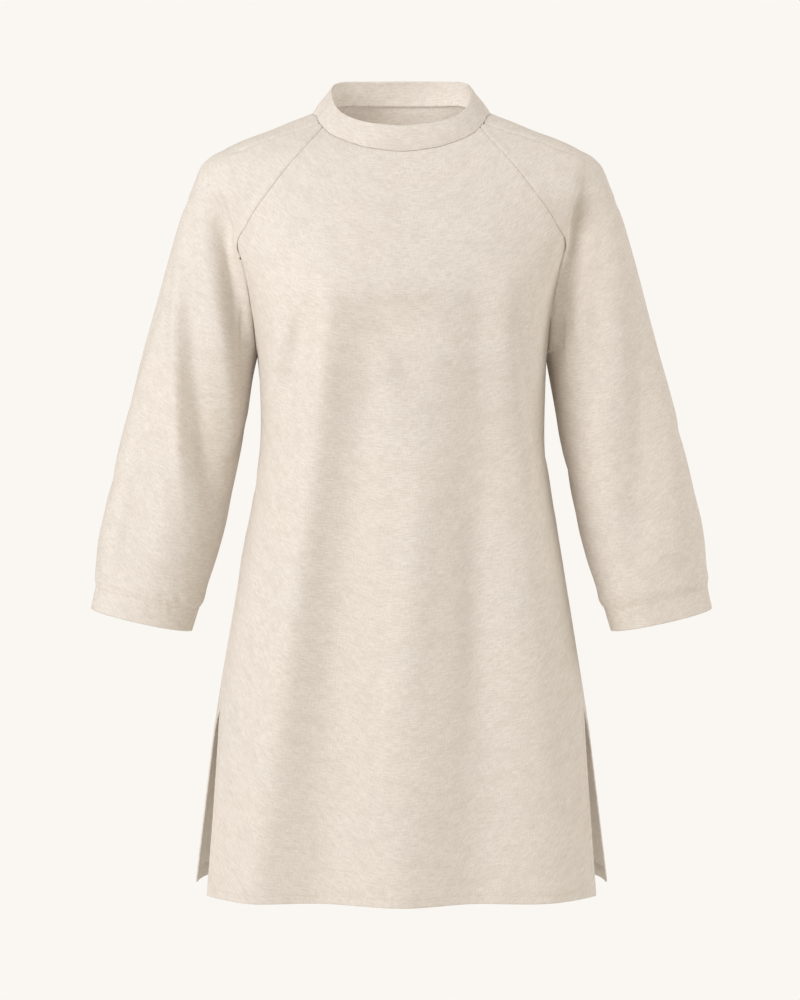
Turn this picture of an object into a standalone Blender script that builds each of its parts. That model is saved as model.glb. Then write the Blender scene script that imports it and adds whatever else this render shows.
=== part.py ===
"""A linen tunic with a stand collar, raglan sleeves and side slits, hollow as it is worn.

Metres, with +Z up. The front faces -Y and the wearer's left arm lies at +X. The origin is the
centre of the neck, level with the points where the neck meets the shoulders.

Every cloth piece lies on one smooth outer form: a body column and two arm columns, given by their
sections, that melt into each other over the shoulders and meet in a crease at the armpits. The
seams are lines on that form, each piece is a grid between its seams, and a second grid behind it,
joined to it round the border, makes it a wall of cloth.
"""

from collections import namedtuple
from functools import lru_cache

import bmesh
import bpy
import numpy as np

# ---------------------------------------------------------------- driving dimensions

CLOTH = 0.0012           # one layer of cloth; a turned hem has two
SEAM_GAP = 0.0003        # left between two pieces that are sewn together

HEM = -0.829             # height of the tunic's lower edge
SLIT_TOP = -0.631        # height where the side seams end and the slits begin
UNDERARM = -0.258        # height where sleeve, front and back meet under the arm
SLEEVE_SLANT = 12.7      # degrees that a hanging sleeve leans away from the body

BODY_HEM = 0.010         # depth of the turned hem of the front and the back
SLEEVE_HEM = 0.025       # depth of the turned hem of a sleeve
CUFF = -0.541            # height of the middle of a sleeve's open end
COLLAR_FRONT_ANGLE = 64  # where the front raglan seam leaves the neck, from the centre front
COLLAR_BACK_ANGLE = 124  # where the back raglan seam leaves the neck

LINEN = (0.74, 0.69, 0.62)

# Level sections of the body. The half width is measured at the side, the depths at the centre.
Section = namedtuple("Section", "height half_width front back side roundness")
BODY = (
    Section(0.040, 0.040, -0.004, 0.045, 0.005, 2.0),
    Section(0.012, 0.074, -0.010, 0.065, 0.005, 2.0),
    Section(0.004, 0.084, -0.012, 0.069, 0.005, 2.0),
    Section(-0.001, 0.0935, -0.014, 0.072, 0.005, 2.0),
    Section(-0.010, 0.1170, -0.031, 0.077, 0.005, 2.0),
    Section(-0.020, 0.1410, -0.047, 0.082, 0.005, 2.0),
    Section(-0.030, 0.1680, -0.060, 0.086, 0.005, 2.0),
    Section(-0.038, 0.1850, -0.068, 0.089, 0.005, 2.05),
    Section(-0.047, 0.1985, -0.075, 0.092, 0.005, 2.1),
    Section(-0.061, 0.2070, -0.083, 0.096, 0.005, 2.2),
    Section(-0.085, 0.2070, -0.093, 0.102, 0.005, 2.3),
    Section(-0.115, 0.194, -0.105, 0.108, 0.005, 2.35),
    Section(-0.144, 0.182, -0.117, 0.113, 0.006, 2.4),
    Section(-0.200, 0.163, -0.131, 0.115, 0.007, 2.4),
    Section(-0.258, 0.154, -0.132, 0.110, 0.008, 2.4),
    Section(-0.295, 0.1516, -0.127, 0.106, 0.008, 2.4),
    Section(-0.338, 0.1500, -0.122, 0.104, 0.008, 2.4),
    Section(-0.402, 0.1573, -0.119, 0.108, 0.008, 2.45),
    Section(-0.488, 0.1725, -0.118, 0.115, 0.008, 2.5),
    Section(-0.640, 0.1985, -0.117, 0.126, 0.008, 2.55),
    Section(-0.829, 0.2238, -0.117, 0.138, 0.008, 2.6),
)

# Level sections of an arm, from its inner to its outer side.
Arm = namedtuple("Arm", "height inner outer depth centre")
ARM = (
    Arm(-0.036, 0.160, 0.164, 0.006, 0.003),
    Arm(-0.048, 0.143, 0.188, 0.024, 0.003),
    Arm(-0.061, 0.132, 0.2035, 0.038, 0.003),
    Arm(-0.083, 0.122, 0.2185, 0.047, 0.003),
    Arm(-0.104, 0.124, 0.2318, 0.051, 0.004),
    Arm(-0.146, 0.132, 0.2453, 0.055, 0.005),
    Arm(-0.200, 0.143, 0.2605, 0.058, 0.007),
    Arm(-0.258, 0.154, 0.2775, 0.061, 0.008),
    Arm(-0.338, 0.168, 0.298, 0.062, 0.008),
    Arm(-0.423, 0.186, 0.3173, 0.058, 0.003),
    Arm(-0.466, 0.197, 0.3246, 0.053, -0.001),
    Arm(-0.500, 0.2065, 0.3266, 0.047, -0.003),
    Arm(-0.529, 0.2170, 0.3325, 0.0435, -0.005),
    Arm(-0.565, 0.2280, 0.3385, 0.0415, -0.006),
)

# How softly the body and an arm melt into each other.
Blend = namedtuple("Blend", "height softness")
BLEND = (
    Blend(-0.036, 0.006),
    Blend(-0.050, 0.036),
    Blend(-0.085, 0.040),
    Blend(-0.100, 0.030),
    Blend(-0.144, 0.014),
    Blend(-0.200, 0.005),
    Blend(-0.258, 0.0002),
)

# The front and back raglan seams above the armpit crease.
Raglan = namedtuple("Raglan", "height front back")
RAGLAN = (
    Raglan(0.0108, 0.0640, 0.0579),
    Raglan(-0.0189, 0.0826, 0.0860),
    Raglan(-0.0470, 0.1059, 0.1080),
    Raglan(-0.0670, 0.1225, 0.1215),
    Raglan(-0.0874, 0.1377, 0.1345),
    Raglan(-0.1053, 0.1511, 0.1445),
    Raglan(-0.1213, 0.1612, 0.1527),
    Raglan(-0.1400, 0.1675, 0.1600),
)

# The side seams, in degrees from the centre front.
SideSeam = namedtuple("SideSeam", "height angle")
SIDE_SEAM = (
    SideSeam(UNDERARM, 90.0),
    SideSeam(-0.400, 85.0),
    SideSeam(SLIT_TOP, 78.8),
)

# The edges of the slits, in degrees from the centre front.
Slit = namedtuple("Slit", "height front back")
SLIT = (
    Slit(SLIT_TOP, 78.8, 78.8),
    Slit(-0.667, 76.1, 86.0),
    Slit(-0.705, 74.5, 89.5),
    Slit(-0.760, 73.2, 91.5),
    Slit(HEM, 72.2, 93.0),
)

# The neck seam and the collar's upper edge, by angle from the centre front.
Neck = namedtuple("Neck", "angle seam top")
NECK = (
    Neck(0, -0.0471, -0.0196),
    Neck(24, -0.0431, -0.0165),
    Neck(36, -0.0380, -0.0125),
    Neck(50, -0.0297, -0.0055),
    Neck(64, -0.0189, 0.0043),
    Neck(72, -0.0125, 0.0110),
    Neck(82, -0.0052, 0.0185),
    Neck(90, -0.0010, 0.0235),
    Neck(105, 0.0062, 0.0315),
    Neck(124, 0.0108, 0.0360),
    Neck(180, 0.0120, 0.0380),
)
COLLAR_TOP = Section(0.0235, 0.0743, -0.070, 0.060, 0.005, 2.4)
COLLAR_BULGE = 0.0015    # how far the middle of the collar stands out

# The largest folds run down the cloth: ridges have a positive rise, troughs a negative one.
Fold = namedtuple("Fold", "face upper lower x_upper x_lower bow "
                          "spread_upper spread_lower rise_upper rise_lower")
FRONT, BACK = -1, 1
FOLDS = (
    Fold(FRONT, -0.235, HEM, -0.078, -0.158, 0.001, 0.020, 0.028, 0.0090, 0.0110),
    Fold(FRONT, -0.240, HEM, -0.028, -0.086, -0.006, 0.026, 0.036, -0.0080, -0.0130),
    Fold(FRONT, -0.230, HEM, 0.032, 0.001, -0.003, 0.021, 0.036, 0.0010, 0.0115),
    Fold(FRONT, -0.250, HEM, 0.075, 0.079, 0.002, 0.026, 0.035, -0.0080, -0.0125),
    Fold(FRONT, -0.220, HEM, 0.113, 0.156, 0.003, 0.027, 0.030, 0.0090, 0.0070),
    Fold(BACK, -0.330, HEM, -0.085, -0.140, -0.006, 0.022, 0.032, 0.0025, 0.0115),
    Fold(BACK, -0.250, HEM, -0.040, -0.062, 0.006, 0.018, 0.027, -0.0030, -0.0100),
    Fold(BACK, -0.310, HEM, 0.004, 0.012, -0.004, 0.020, 0.030, 0.0030, 0.0095),
    Fold(BACK, -0.280, HEM, 0.052, 0.078, 0.008, 0.016, 0.025, -0.0025, -0.0090),
    Fold(BACK, -0.340, HEM, 0.096, 0.142, 0.005, 0.020, 0.031, 0.0030, 0.0120),
    Fold(BACK, -0.130, -0.300, 0.205, 0.196, 0.004, 0.011, 0.011, -0.0030, -0.0030),
    Fold(BACK, -0.280, -0.450, -0.236, -0.250, 0.003, 0.012, 0.012, -0.0030, -0.0020),
)
FOLD_TURN = 0.030        # depth over which a fold fades from one face to the other
FOLD_FADE = 0.050        # height over which a fold fades in and out

# Quads of each grid.
NECK_QUADS = 16          # across the front and the back
SLEEVE_QUADS = 18        # round a sleeve
ARMHOLE_QUADS = 12       # from the neck down to the underarm
SIDE_QUADS = 10          # down a side seam
SLIT_QUADS = 6           # down a slit, above its hem
TUBE_QUADS = 11          # down a sleeve below the armhole, above its hem

SHOULDER_DROP = 0.050    # how far inside the shoulder the cap is seen from
NECK_EASE = 0.020        # height over which a raglan seam leaves its point on the neck seam
CREASE_EASE = 0.030      # height over which it joins the armpit's crease
SEAM_SHARE = 0.6         # each side's share of a seam gap, with a little to spare
WELD = 0.00001           # the ends of a closed band are welded within this
PROBE = 0.0003           # distance over which the form's direction is felt
CREASE_TOP = -0.150      # below this height each piece keeps to its own side of the crease
CREASED, SMOOTH = 0.80, 0.95   # how well a face and the form agree in a crease and on smooth cloth

REACH = 0.32             # no point of the form is further than this from where it is sought
SEARCH_STEPS = 64
HALVINGS = 24
NEARLY_ZERO = 1e-9


# ---------------------------------------------------------------- tables read smoothly

def through(rows, column, level_ends=False):
    """A smooth function through one column of a table, by its first column, with no overshoot."""
    rows = sorted(rows)
    places = np.array([row[0] for row in rows], dtype=float)
    values = np.array([getattr(row, column) for row in rows], dtype=float)
    steps = np.diff(places)
    slopes = np.diff(values) / steps
    before, after = slopes[:-1], slopes[1:]
    same_way = before * after > 0
    total = np.where(same_way, before + after, 1.0)
    inner = np.where(same_way, 2 * before * after / total, 0.0)
    first, last = (0.0, 0.0) if level_ends else (slopes[0], slopes[-1])
    tangents = np.concatenate(([first], inner, [last]))

    def value(place):
        place = np.clip(place, places[0], places[-1])
        index = np.clip(np.searchsorted(places, place) - 1, 0, len(steps) - 1)
        step = steps[index]
        u = (place - places[index]) / step
        rise = values[index + 1] - values[index]
        start, end = tangents[index] * step, tangents[index + 1] * step
        curve = start + u * (3 * rise - 2 * start - end + u * (start + end - 2 * rise))
        return values[index] + u * curve

    return value


def smooth_step(value):
    """0 below 0, 1 above 1, and a soft rise between."""
    value = np.clip(value, 0, 1)
    return value * value * (3 - 2 * value)


BODY_AT = {name: through(BODY, name) for name in Section._fields[1:]}
ARM_AT = {name: through(ARM, name) for name in Arm._fields[1:]}
softness_at = through(BLEND, "softness")


# ---------------------------------------------------------------- the outer form

def oval_gap(across, along, half_width, depth, roundness):
    """How far points lie outside a rounded oval, along the line from its centre."""
    across = np.abs(across) + NEARLY_ZERO
    share = (across / half_width) ** roundness + (np.abs(along) / depth) ** roundness
    return np.hypot(across, along) * (1 - share ** (-1 / roundness))


def body_gap(points):
    """How far points lie outside the body column."""
    across, along, height = points[..., 0], points[..., 1], points[..., 2]
    size = {name: read(height) for name, read in BODY_AT.items()}
    along = along - size["side"]
    depth = np.where(along < 0, size["side"] - size["front"], size["back"] - size["side"])
    return oval_gap(across, along, size["half_width"], depth, size["roundness"])


def arm_gap(points):
    """How far points lie outside the arm column on their own side."""
    across, along, height = np.abs(points[..., 0]), points[..., 1], points[..., 2]
    size = {name: read(height) for name, read in ARM_AT.items()}
    middle = (size["inner"] + size["outer"]) / 2
    half_width = (size["outer"] - size["inner"]) / 2
    above = np.clip(height - ARM[0].height, 0, None)
    return oval_gap(across - middle, along - size["centre"], half_width, size["depth"], 2) + 2 * above


def fold_rise(points):
    """How far the folds lift the cloth at points; negative in a trough."""
    across, along, height = points[..., 0], points[..., 1], points[..., 2]
    rise = np.zeros(height.shape)
    for fold in FOLDS:
        way = np.clip((fold.upper - height) / (fold.upper - fold.lower), 0, 1)
        line = fold.x_upper + (fold.x_lower - fold.x_upper) * way + fold.bow * 4 * way * (1 - way)
        past_end = np.maximum(height - fold.upper, fold.lower - height).clip(0)
        strength = fold.rise_upper + (fold.rise_lower - fold.rise_upper) * way
        strength = strength * np.exp(-((past_end / FOLD_FADE) ** 2))
        strength = strength * smooth_step(0.5 + fold.face * along / FOLD_TURN)
        spread = fold.spread_upper + (fold.spread_lower - fold.spread_upper) * way
        rise += strength * np.exp(-(((across - line) / spread) ** 2))
    return rise


def sleeve_gap(points):
    """How far points lie outside a hanging sleeve."""
    return arm_gap(points) - fold_rise(points)


def blended(own, other, points):
    """One column's gap with its share of the soft union and the folds."""
    softness = softness_at(points[..., 2])
    shared = np.clip(softness - np.abs(own - other), 0, None)
    return own - shared ** 2 / (4 * softness) - fold_rise(points)


def form_gap(points):
    """How far points lie outside the tunic's outer form."""
    body, arm = body_gap(points), arm_gap(points)
    return blended(np.minimum(body, arm), np.maximum(body, arm), points)


def panel_gap(points):
    """How far points lie outside the body's own part of the form."""
    return blended(body_gap(points), arm_gap(points), points)


def cap_gap(points):
    """How far points lie outside the form, and beside the crease outside the arm's own part."""
    body, arm = body_gap(points), arm_gap(points)
    own = np.where(points[..., 2] < CREASE_TOP, arm, np.minimum(body, arm))
    return blended(own, np.where(own == arm, body, arm), points)


def outward(origins, directions, gap=form_gap):
    """The first points of a form on straight ways out from places inside it."""
    origins, directions = np.broadcast_arrays(origins, directions)
    directions = directions / np.linalg.norm(directions, axis=-1, keepdims=True)
    steps = np.linspace(0, REACH, SEARCH_STEPS)
    outside = np.stack([gap(origins + step * directions) > 0 for step in steps])
    first = np.maximum(np.argmax(outside, axis=0), 1)
    low, high = steps[first - 1], steps[first]
    for _ in range(HALVINGS):
        middle = (low + high) / 2
        is_outside = gap(origins + middle[..., None] * directions) > 0
        low = np.where(is_outside, low, middle)
        high = np.where(is_outside, middle, high)
    return origins + middle[..., None] * directions


def places(x, y, z):
    """Points from their coordinates."""
    return np.stack(np.broadcast_arrays(x, y, z), axis=-1).astype(float)


def round_body(angle, height, gap=form_gap):
    """Points of the form by angle from the centre front, seen from the body's axis, and height."""
    turn = np.radians(angle)
    origins = places(0, BODY_AT["side"](height), height)
    return outward(origins, places(np.sin(turn), -np.cos(turn), 0 * turn), gap)


# ---------------------------------------------------------------- seams on the form

def evenly(line, count):
    """A line of points drawn again as so many equal lengths."""
    lengths = np.linalg.norm(np.diff(line, axis=0), axis=1)
    walked = np.concatenate(([0], np.cumsum(lengths)))
    wanted = np.linspace(0, walked[-1], count + 1)
    return np.stack([np.interp(wanted, walked, line[:, axis]) for axis in range(3)], axis=1)


def off_front(angles):
    """Angles from the centre front to either side, up to 180."""
    return np.degrees(np.arccos(np.clip(np.cos(np.radians(angles)), -1, 1)))


neck_seam_height = through(NECK, "seam", level_ends=True)
neck_top_height = through(NECK, "top", level_ends=True)


def neck_seam(angles):
    """Points of the neck seam, by angle from the centre front."""
    return round_body(angles, neck_seam_height(off_front(angles)))


def crease(heights, face, side):
    """Where body and arm meet at the armpit, on the front or the back."""
    near, far = np.full(heights.shape, 0.130), np.full(heights.shape, 0.215)
    for _ in range(HALVINGS):
        across = side * (near + far) / 2
        origins = places(across, BODY_AT["side"](heights), heights)
        points = outward(origins, np.array([0.0, face, 0.0]))
        on_arm = body_gap(points) > arm_gap(points)
        far = np.where(on_arm, np.abs(across), far)
        near = np.where(on_arm, near, np.abs(across))
    return np.abs(across)


@lru_cache
def raglan_seam(face, side):
    """A raglan seam from the neck to the underarm, as equal lengths."""
    angle = COLLAR_FRONT_ANGLE if face == FRONT else COLLAR_BACK_ANGLE
    start = neck_seam(np.array([side * float(angle)]))
    heights = np.linspace(start[0, 2], UNDERARM, 90)[1:-1]
    column = "front" if face == FRONT else "back"
    drawn = through(RAGLAN, column)(heights)
    creased = crease(heights, face, side)
    lowering = smooth_step((RAGLAN[-2].height - heights) / CREASE_EASE)
    missed = np.abs(start[0, 0]) - through(RAGLAN, column)(start[0, 2])
    drawn += missed * (1 - smooth_step((start[0, 2] - heights) / NECK_EASE))
    across = drawn + (creased - drawn) * lowering
    origins = places(side * across, BODY_AT["side"](heights), heights)
    seam = outward(origins, np.array([0.0, face, 0.0]))
    return evenly(np.concatenate((start, seam, underarm_point(side)[None])), ARMHOLE_QUADS)


def underarm_point(side):
    """The point where sleeve, front and back meet under the arm."""
    return places(side * BODY_AT["half_width"](UNDERARM), BODY_AT["side"](UNDERARM), UNDERARM)


# ---------------------------------------------------------------- the pieces' grids

# Each grid runs from the top row down, and from left to right as it is seen from outside.

def side_edge(face, side):
    """A panel's edge from the neck to the hem: raglan seam, side seam and slit."""
    seam = np.linspace(UNDERARM, SLIT_TOP, SIDE_QUADS + 1)[1:]
    slit = np.linspace(SLIT_TOP, HEM + BODY_HEM, SLIT_QUADS + 1)[1:]
    slit = np.concatenate((slit, [HEM]))
    seam_angles = through(SIDE_SEAM, "angle")(seam)
    slit_angles = through(SLIT, "front" if face == FRONT else "back")(slit)
    angles = side * np.concatenate((seam_angles, slit_angles))
    below = round_body(angles, np.concatenate((seam, slit)), panel_gap)
    return np.concatenate((raglan_seam(face, side), below))


def turn_from_middle(edge, face):
    """The angles of an edge's points from the middle of its panel, seen from the body's axis."""
    along = edge[:, 1] - BODY_AT["side"](edge[:, 2])
    return np.arctan2(-face * edge[:, 0], face * along)


def panel_grid(face):
    """The grid of the front or the back."""
    first, last = side_edge(face, face), side_edge(face, -face)
    across = np.linspace(0, 1, NECK_QUADS + 1)
    first_turn, last_turn = turn_from_middle(first, face), turn_from_middle(last, face)
    turns = first_turn[:, None] * (1 - across) + last_turn[:, None] * across
    heights = first[:, 2, None] * (1 - across) + last[:, 2, None] * across
    from_front = np.abs(np.degrees(turns[0]))
    if face == BACK:
        from_front = 180 - from_front
    dip = neck_seam_height(from_front) - heights[0]
    below_neck = smooth_step((heights[0] - heights) / (heights[0] - UNDERARM))
    heights = heights + dip * (1 - below_neck)
    origins = places(0, BODY_AT["side"](heights), heights)
    ways = places(-face * np.sin(turns), face * np.cos(turns), 0 * turns)
    grid = outward(origins, ways, panel_gap)
    grid[:, 0], grid[:, -1] = first, last
    return grid


def sleeve_loop(side, middle_height):
    """One ring of a hanging sleeve, from its inner side round the front and the back."""
    slant = np.radians(SLEEVE_SLANT)
    turns = np.linspace(-np.pi, np.pi, SLEEVE_QUADS + 1)
    across = (ARM_AT["inner"](middle_height) + ARM_AT["outer"](middle_height)) / 2
    middle = places(side * across, ARM_AT["centre"](middle_height), middle_height)
    ways = places(side * np.cos(turns) * np.cos(slant), np.sin(turns), np.cos(turns) * np.sin(slant))
    return outward(middle, ways, sleeve_gap)


def filled(left, right, top, bottom):
    """A grid filled in between four edges that meet at the corners."""
    down = np.linspace(0, 1, len(left))[:, None, None]
    along = np.linspace(0, 1, len(top))[None, :, None]
    sides = left[:, None] * (1 - along) + right[:, None] * along
    ends = top[None] * (1 - down) + bottom[None] * down
    upper = left[0] * (1 - along) + right[0] * along
    lower = left[-1] * (1 - along) + right[-1] * along
    return sides + ends - upper * (1 - down) - lower * down


def sleeve_cap(side, loop):
    """The grid of a sleeve above the underarm, between its raglan seams and its first ring."""
    front, back = raglan_seam(FRONT, side), raglan_seam(BACK, side)
    half = SLEEVE_QUADS // 2
    heights = np.linspace(neck_seam_height(90), loop[half, 2], 80)
    ridge = evenly(round_body(np.full(heights.shape, side * 90.0), heights), ARMHOLE_QUADS)
    ridge[-1] = loop[half]
    to_front = neck_seam(side * np.linspace(COLLAR_FRONT_ANGLE, 90, half + 1))
    to_back = neck_seam(side * np.linspace(90, COLLAR_BACK_ANGLE, half + 1))
    front_half = filled(front, ridge, to_front, loop[:half + 1])
    back_half = filled(ridge, back, to_back, loop[half:])
    drawn = np.concatenate((front_half, back_half[:, 1:]), axis=1)
    drop = places(0, 0, SHOULDER_DROP * np.linspace(1, 0, ARMHOLE_QUADS + 1))
    inside = ((ridge + (front + back) / 2) / 2 - drop)[:, None]
    cap = outward(inside, drawn - inside, cap_gap)
    cap[0], cap[-1], cap[:, 0], cap[:, -1] = drawn[0], loop, front, back
    return cap


def sleeve_grid(side):
    """The grid of one sleeve, from its front edge over the shoulder to its back edge."""
    width = ARM_AT["outer"](UNDERARM) - ARM_AT["inner"](UNDERARM)
    top = UNDERARM + width / 2 * np.tan(np.radians(SLEEVE_SLANT))
    first = sleeve_loop(side, top)
    first[0] = first[-1] = underarm_point(side)
    heights = (*np.linspace(top, CUFF + SLEEVE_HEM, TUBE_QUADS + 1)[1:], CUFF)
    rings = np.stack([sleeve_loop(side, height) for height in heights])
    grid = np.concatenate((sleeve_cap(side, first), rings))
    return grid if side > 0 else grid[:, ::-1]


def collar_grid():
    """The grid of the stand collar, all round, starting at the wearer's right front."""
    half = SLEEVE_QUADS // 2
    turns = (-COLLAR_FRONT_ANGLE, COLLAR_FRONT_ANGLE, 90, COLLAR_BACK_ANGLE,
             360 - COLLAR_BACK_ANGLE, 270, 360 - COLLAR_FRONT_ANGLE)
    quads = (NECK_QUADS, half, half, NECK_QUADS, half, half)
    arcs = [np.linspace(*ends, count + 1)[1:] for *ends, count in zip(turns, turns[1:], quads)]
    angles = np.concatenate(([turns[0]], *arcs))
    turn = np.radians(angles)
    across, along = np.sin(turn), -np.cos(turn)
    size = COLLAR_TOP
    depth = np.where(along < 0, size.side - size.front, size.back - size.side)
    share = np.abs(across / size.half_width) ** size.roundness + np.abs(along / depth) ** size.roundness
    radius = share ** (-1 / size.roundness)
    top = places(across * radius, size.side + along * radius, neck_top_height(off_front(angles)))
    seam = neck_seam(angles)
    middle = (top + seam) / 2 + COLLAR_BULGE * places(across, along, 0)
    return np.stack((top, middle, seam))


# ---------------------------------------------------------------- cloth from grids

def unit(ways):
    """Directions made one long."""
    return ways / np.linalg.norm(ways, axis=-1, keepdims=True)


def grid_normals(grid):
    """The outward directions of a grid's own faces at its points."""
    return unit(np.cross(np.gradient(grid, axis=1), -np.gradient(grid, axis=0)))


def form_normals(points, gap):
    """The outward directions of a form at points."""
    probes = PROBE * np.eye(3)
    return unit(np.stack([gap(points + probe) - gap(points - probe) for probe in probes], axis=-1))


def wall_normals(grid, gaps):
    """Outward directions that neighbours share along a seam, except in the armpit's crease."""
    own = grid_normals(grid)
    shared = own
    agreement = np.full(own.shape[:2], -1.0)
    for gap in gaps:
        found = form_normals(grid, gap)
        closeness = (found * own).sum(axis=-1)
        shared = np.where((closeness > agreement)[..., None], found, shared)
        agreement = np.maximum(agreement, closeness)
    trust = smooth_step((agreement - CREASED) / (SMOOTH - CREASED))[..., None]
    return unit(own + (shared - own) * trust)


def drawn_back(grid, edges):
    """The grid with the named edges moved in by half a seam gap, square to the seam."""
    grid = grid.copy()
    lines = {
        "top": (np.s_[0], np.s_[1]),
        "left": (np.s_[:, 0], np.s_[:, 1]),
        "bottom": (np.s_[-1], np.s_[-2]),
        "right": (np.s_[:, -1], np.s_[:, -2]),
    }
    for edge in edges:
        line, neighbour = (grid[place] for place in lines[edge])
        seam = unit(np.gradient(line, axis=0))
        inward = neighbour - line
        inward = unit(inward - (inward * seam).sum(axis=1, keepdims=True) * seam)
        grid[lines[edge][0]] = line + inward * SEAM_GAP * SEAM_SHARE
    return grid


def linen_material(name):
    """Natural undyed linen."""
    material = bpy.data.materials.new(name)
    material.use_nodes = True
    shader = material.node_tree.nodes["Principled BSDF"]
    shader.inputs["Base Color"].default_value = (*LINEN, 1)
    shader.inputs["Roughness"].default_value = 0.9
    shader.inputs["Metallic"].default_value = 0.0
    return material


def add_layer(shape, points, row_mark):
    """A sheet of faces through a grid's points, each point marked with its row."""
    rows, columns = points.shape[:2]
    made = bmesh.ops.create_grid(shape, x_segments=columns - 1, y_segments=rows - 1, size=1)
    for vertex in made["verts"]:
        column = round((vertex.co.x + 1) / 2 * (columns - 1))
        row = round((1 - vertex.co.y) / 2 * (rows - 1))
        vertex.co = points[row, column]
        vertex[row_mark] = row
    if np.allclose(points[:, 0], points[:, -1]):
        bmesh.ops.remove_doubles(shape, verts=made["verts"], dist=WELD)
    return {face for vertex in made["verts"] if vertex.is_valid for face in vertex.link_faces}


def make_cloth(name, outer, normals, collection, hem_rows=0):
    """A wall of cloth behind a grid, two layers thick over the rows of its turned hem."""
    layers = np.ones((len(outer), 1, 1))
    layers[len(outer) - hem_rows:] = 2
    shape = bmesh.new()
    row_mark = shape.verts.layers.int.new("row")
    add_layer(shape, outer, row_mark)
    inside = add_layer(shape, outer - normals * CLOTH * layers, row_mark)
    bmesh.ops.reverse_faces(shape, faces=list(inside))
    border = [edge for edge in shape.edges if edge.is_boundary]
    rims = [border]
    if np.allclose(outer[:, 0], outer[:, -1]):
        top = [edge for edge in border if edge.verts[0][row_mark] == 0]
        rims = [top, [edge for edge in border if edge not in top]]
    for rim in rims:
        bmesh.ops.bridge_loops(shape, edges=rim)
    bmesh.ops.recalc_face_normals(shape, faces=shape.faces)
    mesh = bpy.data.meshes.new(name)
    shape.to_mesh(mesh)
    shape.free()
    mesh.materials.append(linen_material(name))
    collection.objects.link(bpy.data.objects.new(name, mesh))


def build_tunic():
    """All six pieces of the tunic in a collection of their own."""
    for leftover in list(bpy.data.objects):
        bpy.data.objects.remove(leftover)
    tunic = bpy.data.collections.new("linen_tunic")
    bpy.context.scene.collection.children.link(tunic)
    sewn = ("top", "left", "right")
    for name, face in (("front", FRONT), ("back", BACK)):
        grid = panel_grid(face)
        normals = wall_normals(grid, (form_gap,))
        make_cloth(name, drawn_back(grid, sewn), normals, tunic, hem_rows=2)
    for name, side in (("sleeve_left", 1), ("sleeve_right", -1)):
        grid = sleeve_grid(side)
        normals = wall_normals(grid, (form_gap, sleeve_gap))
        make_cloth(name, drawn_back(grid, sewn), normals, tunic, hem_rows=2)
    collar = drawn_back(collar_grid(), ("bottom",))
    normals = grid_normals(collar)
    normals[:, 0] = normals[:, -1] = unit(normals[:, 0] + normals[:, -1])
    collar[:, -1] = collar[:, 0]
    make_cloth("collar_outer", collar, normals, tunic)
    make_cloth("collar_inner", collar - normals * (CLOTH + SEAM_GAP), normals, tunic)


build_tunic()
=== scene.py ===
# %% [markdown]
# # A linen tunic, cell by cell
#
# The tunic is a pullover with a stand collar, raglan sleeves and side slits, sewn from a front, a
# back, two sleeves and a collar of two layers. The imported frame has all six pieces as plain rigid
# cloth. This script lays a finer, softer cloth exactly on each of them, with its folds, seams,
# turned hems and stitches, and gives it a linen finish.

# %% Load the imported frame
from collections import namedtuple
from functools import lru_cache

import bmesh
import bpy
import numpy as np
from mathutils import Matrix, Vector


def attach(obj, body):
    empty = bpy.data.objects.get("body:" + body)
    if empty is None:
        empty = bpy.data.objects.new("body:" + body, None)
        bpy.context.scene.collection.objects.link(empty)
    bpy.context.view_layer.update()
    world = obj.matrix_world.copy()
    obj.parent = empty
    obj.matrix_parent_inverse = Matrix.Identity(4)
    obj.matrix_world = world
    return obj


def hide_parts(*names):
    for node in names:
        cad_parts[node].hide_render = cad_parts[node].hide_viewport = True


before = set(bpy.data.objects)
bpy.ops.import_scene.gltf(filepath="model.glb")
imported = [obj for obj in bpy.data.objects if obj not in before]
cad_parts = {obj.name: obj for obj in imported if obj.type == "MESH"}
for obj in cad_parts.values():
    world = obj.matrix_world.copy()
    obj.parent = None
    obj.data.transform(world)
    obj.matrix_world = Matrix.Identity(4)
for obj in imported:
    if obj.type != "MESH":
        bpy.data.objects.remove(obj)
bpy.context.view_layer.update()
print("CAD nodes:", sorted(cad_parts))

# %% [markdown]
# ## Camera
#
# The tunic is seen from straight in front and a little above its middle, from three metres away
# with a long lens, so that it keeps nearly its true proportions. The camera tilts down by three
# degrees, which lets it look just over the front of the collar at the inside of the back.

# %% Set the camera
CAMERA_PLACE = Vector((-0.0016, -3.0, -0.2525))
CAMERA_AIM = Vector((-0.0016, 0.0, -0.4130))
CAMERA_LENS = 101.08     # millimetres, on a sensor 36 mm along its longer side


def put(name, data):
    """A new object in the scene."""
    added = bpy.data.objects.new(name, data)
    bpy.context.scene.collection.objects.link(added)
    return added


def aim(aimed, place, target):
    """Move a camera or a lamp to a place and turn it to a target."""
    aimed.location = place
    aimed.rotation_euler = (target - Vector(place)).to_track_quat("-Z", "Y").to_euler()


camera = put("camera", bpy.data.cameras.new("camera"))
camera.data.lens = CAMERA_LENS
aim(camera, CAMERA_PLACE, CAMERA_AIM)
bpy.context.scene.camera = camera
bpy.context.scene.view_settings.view_transform = "Standard"
print("camera tilts down by", round(90 - np.degrees(camera.rotation_euler.x), 2), "degrees")

# %% [markdown]
# ## Shader sums as plain expressions
#
# Wiring nodes one by one hides what a material does. Here a small class wraps an output socket and
# overloads the operators, so that a mask can be written as `1 - mask * 0.5`. One more method,
# `add`, makes any other node from its type, its settings and what goes into its sockets. A world
# has nodes too, so both kinds are built in the same way.

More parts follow.
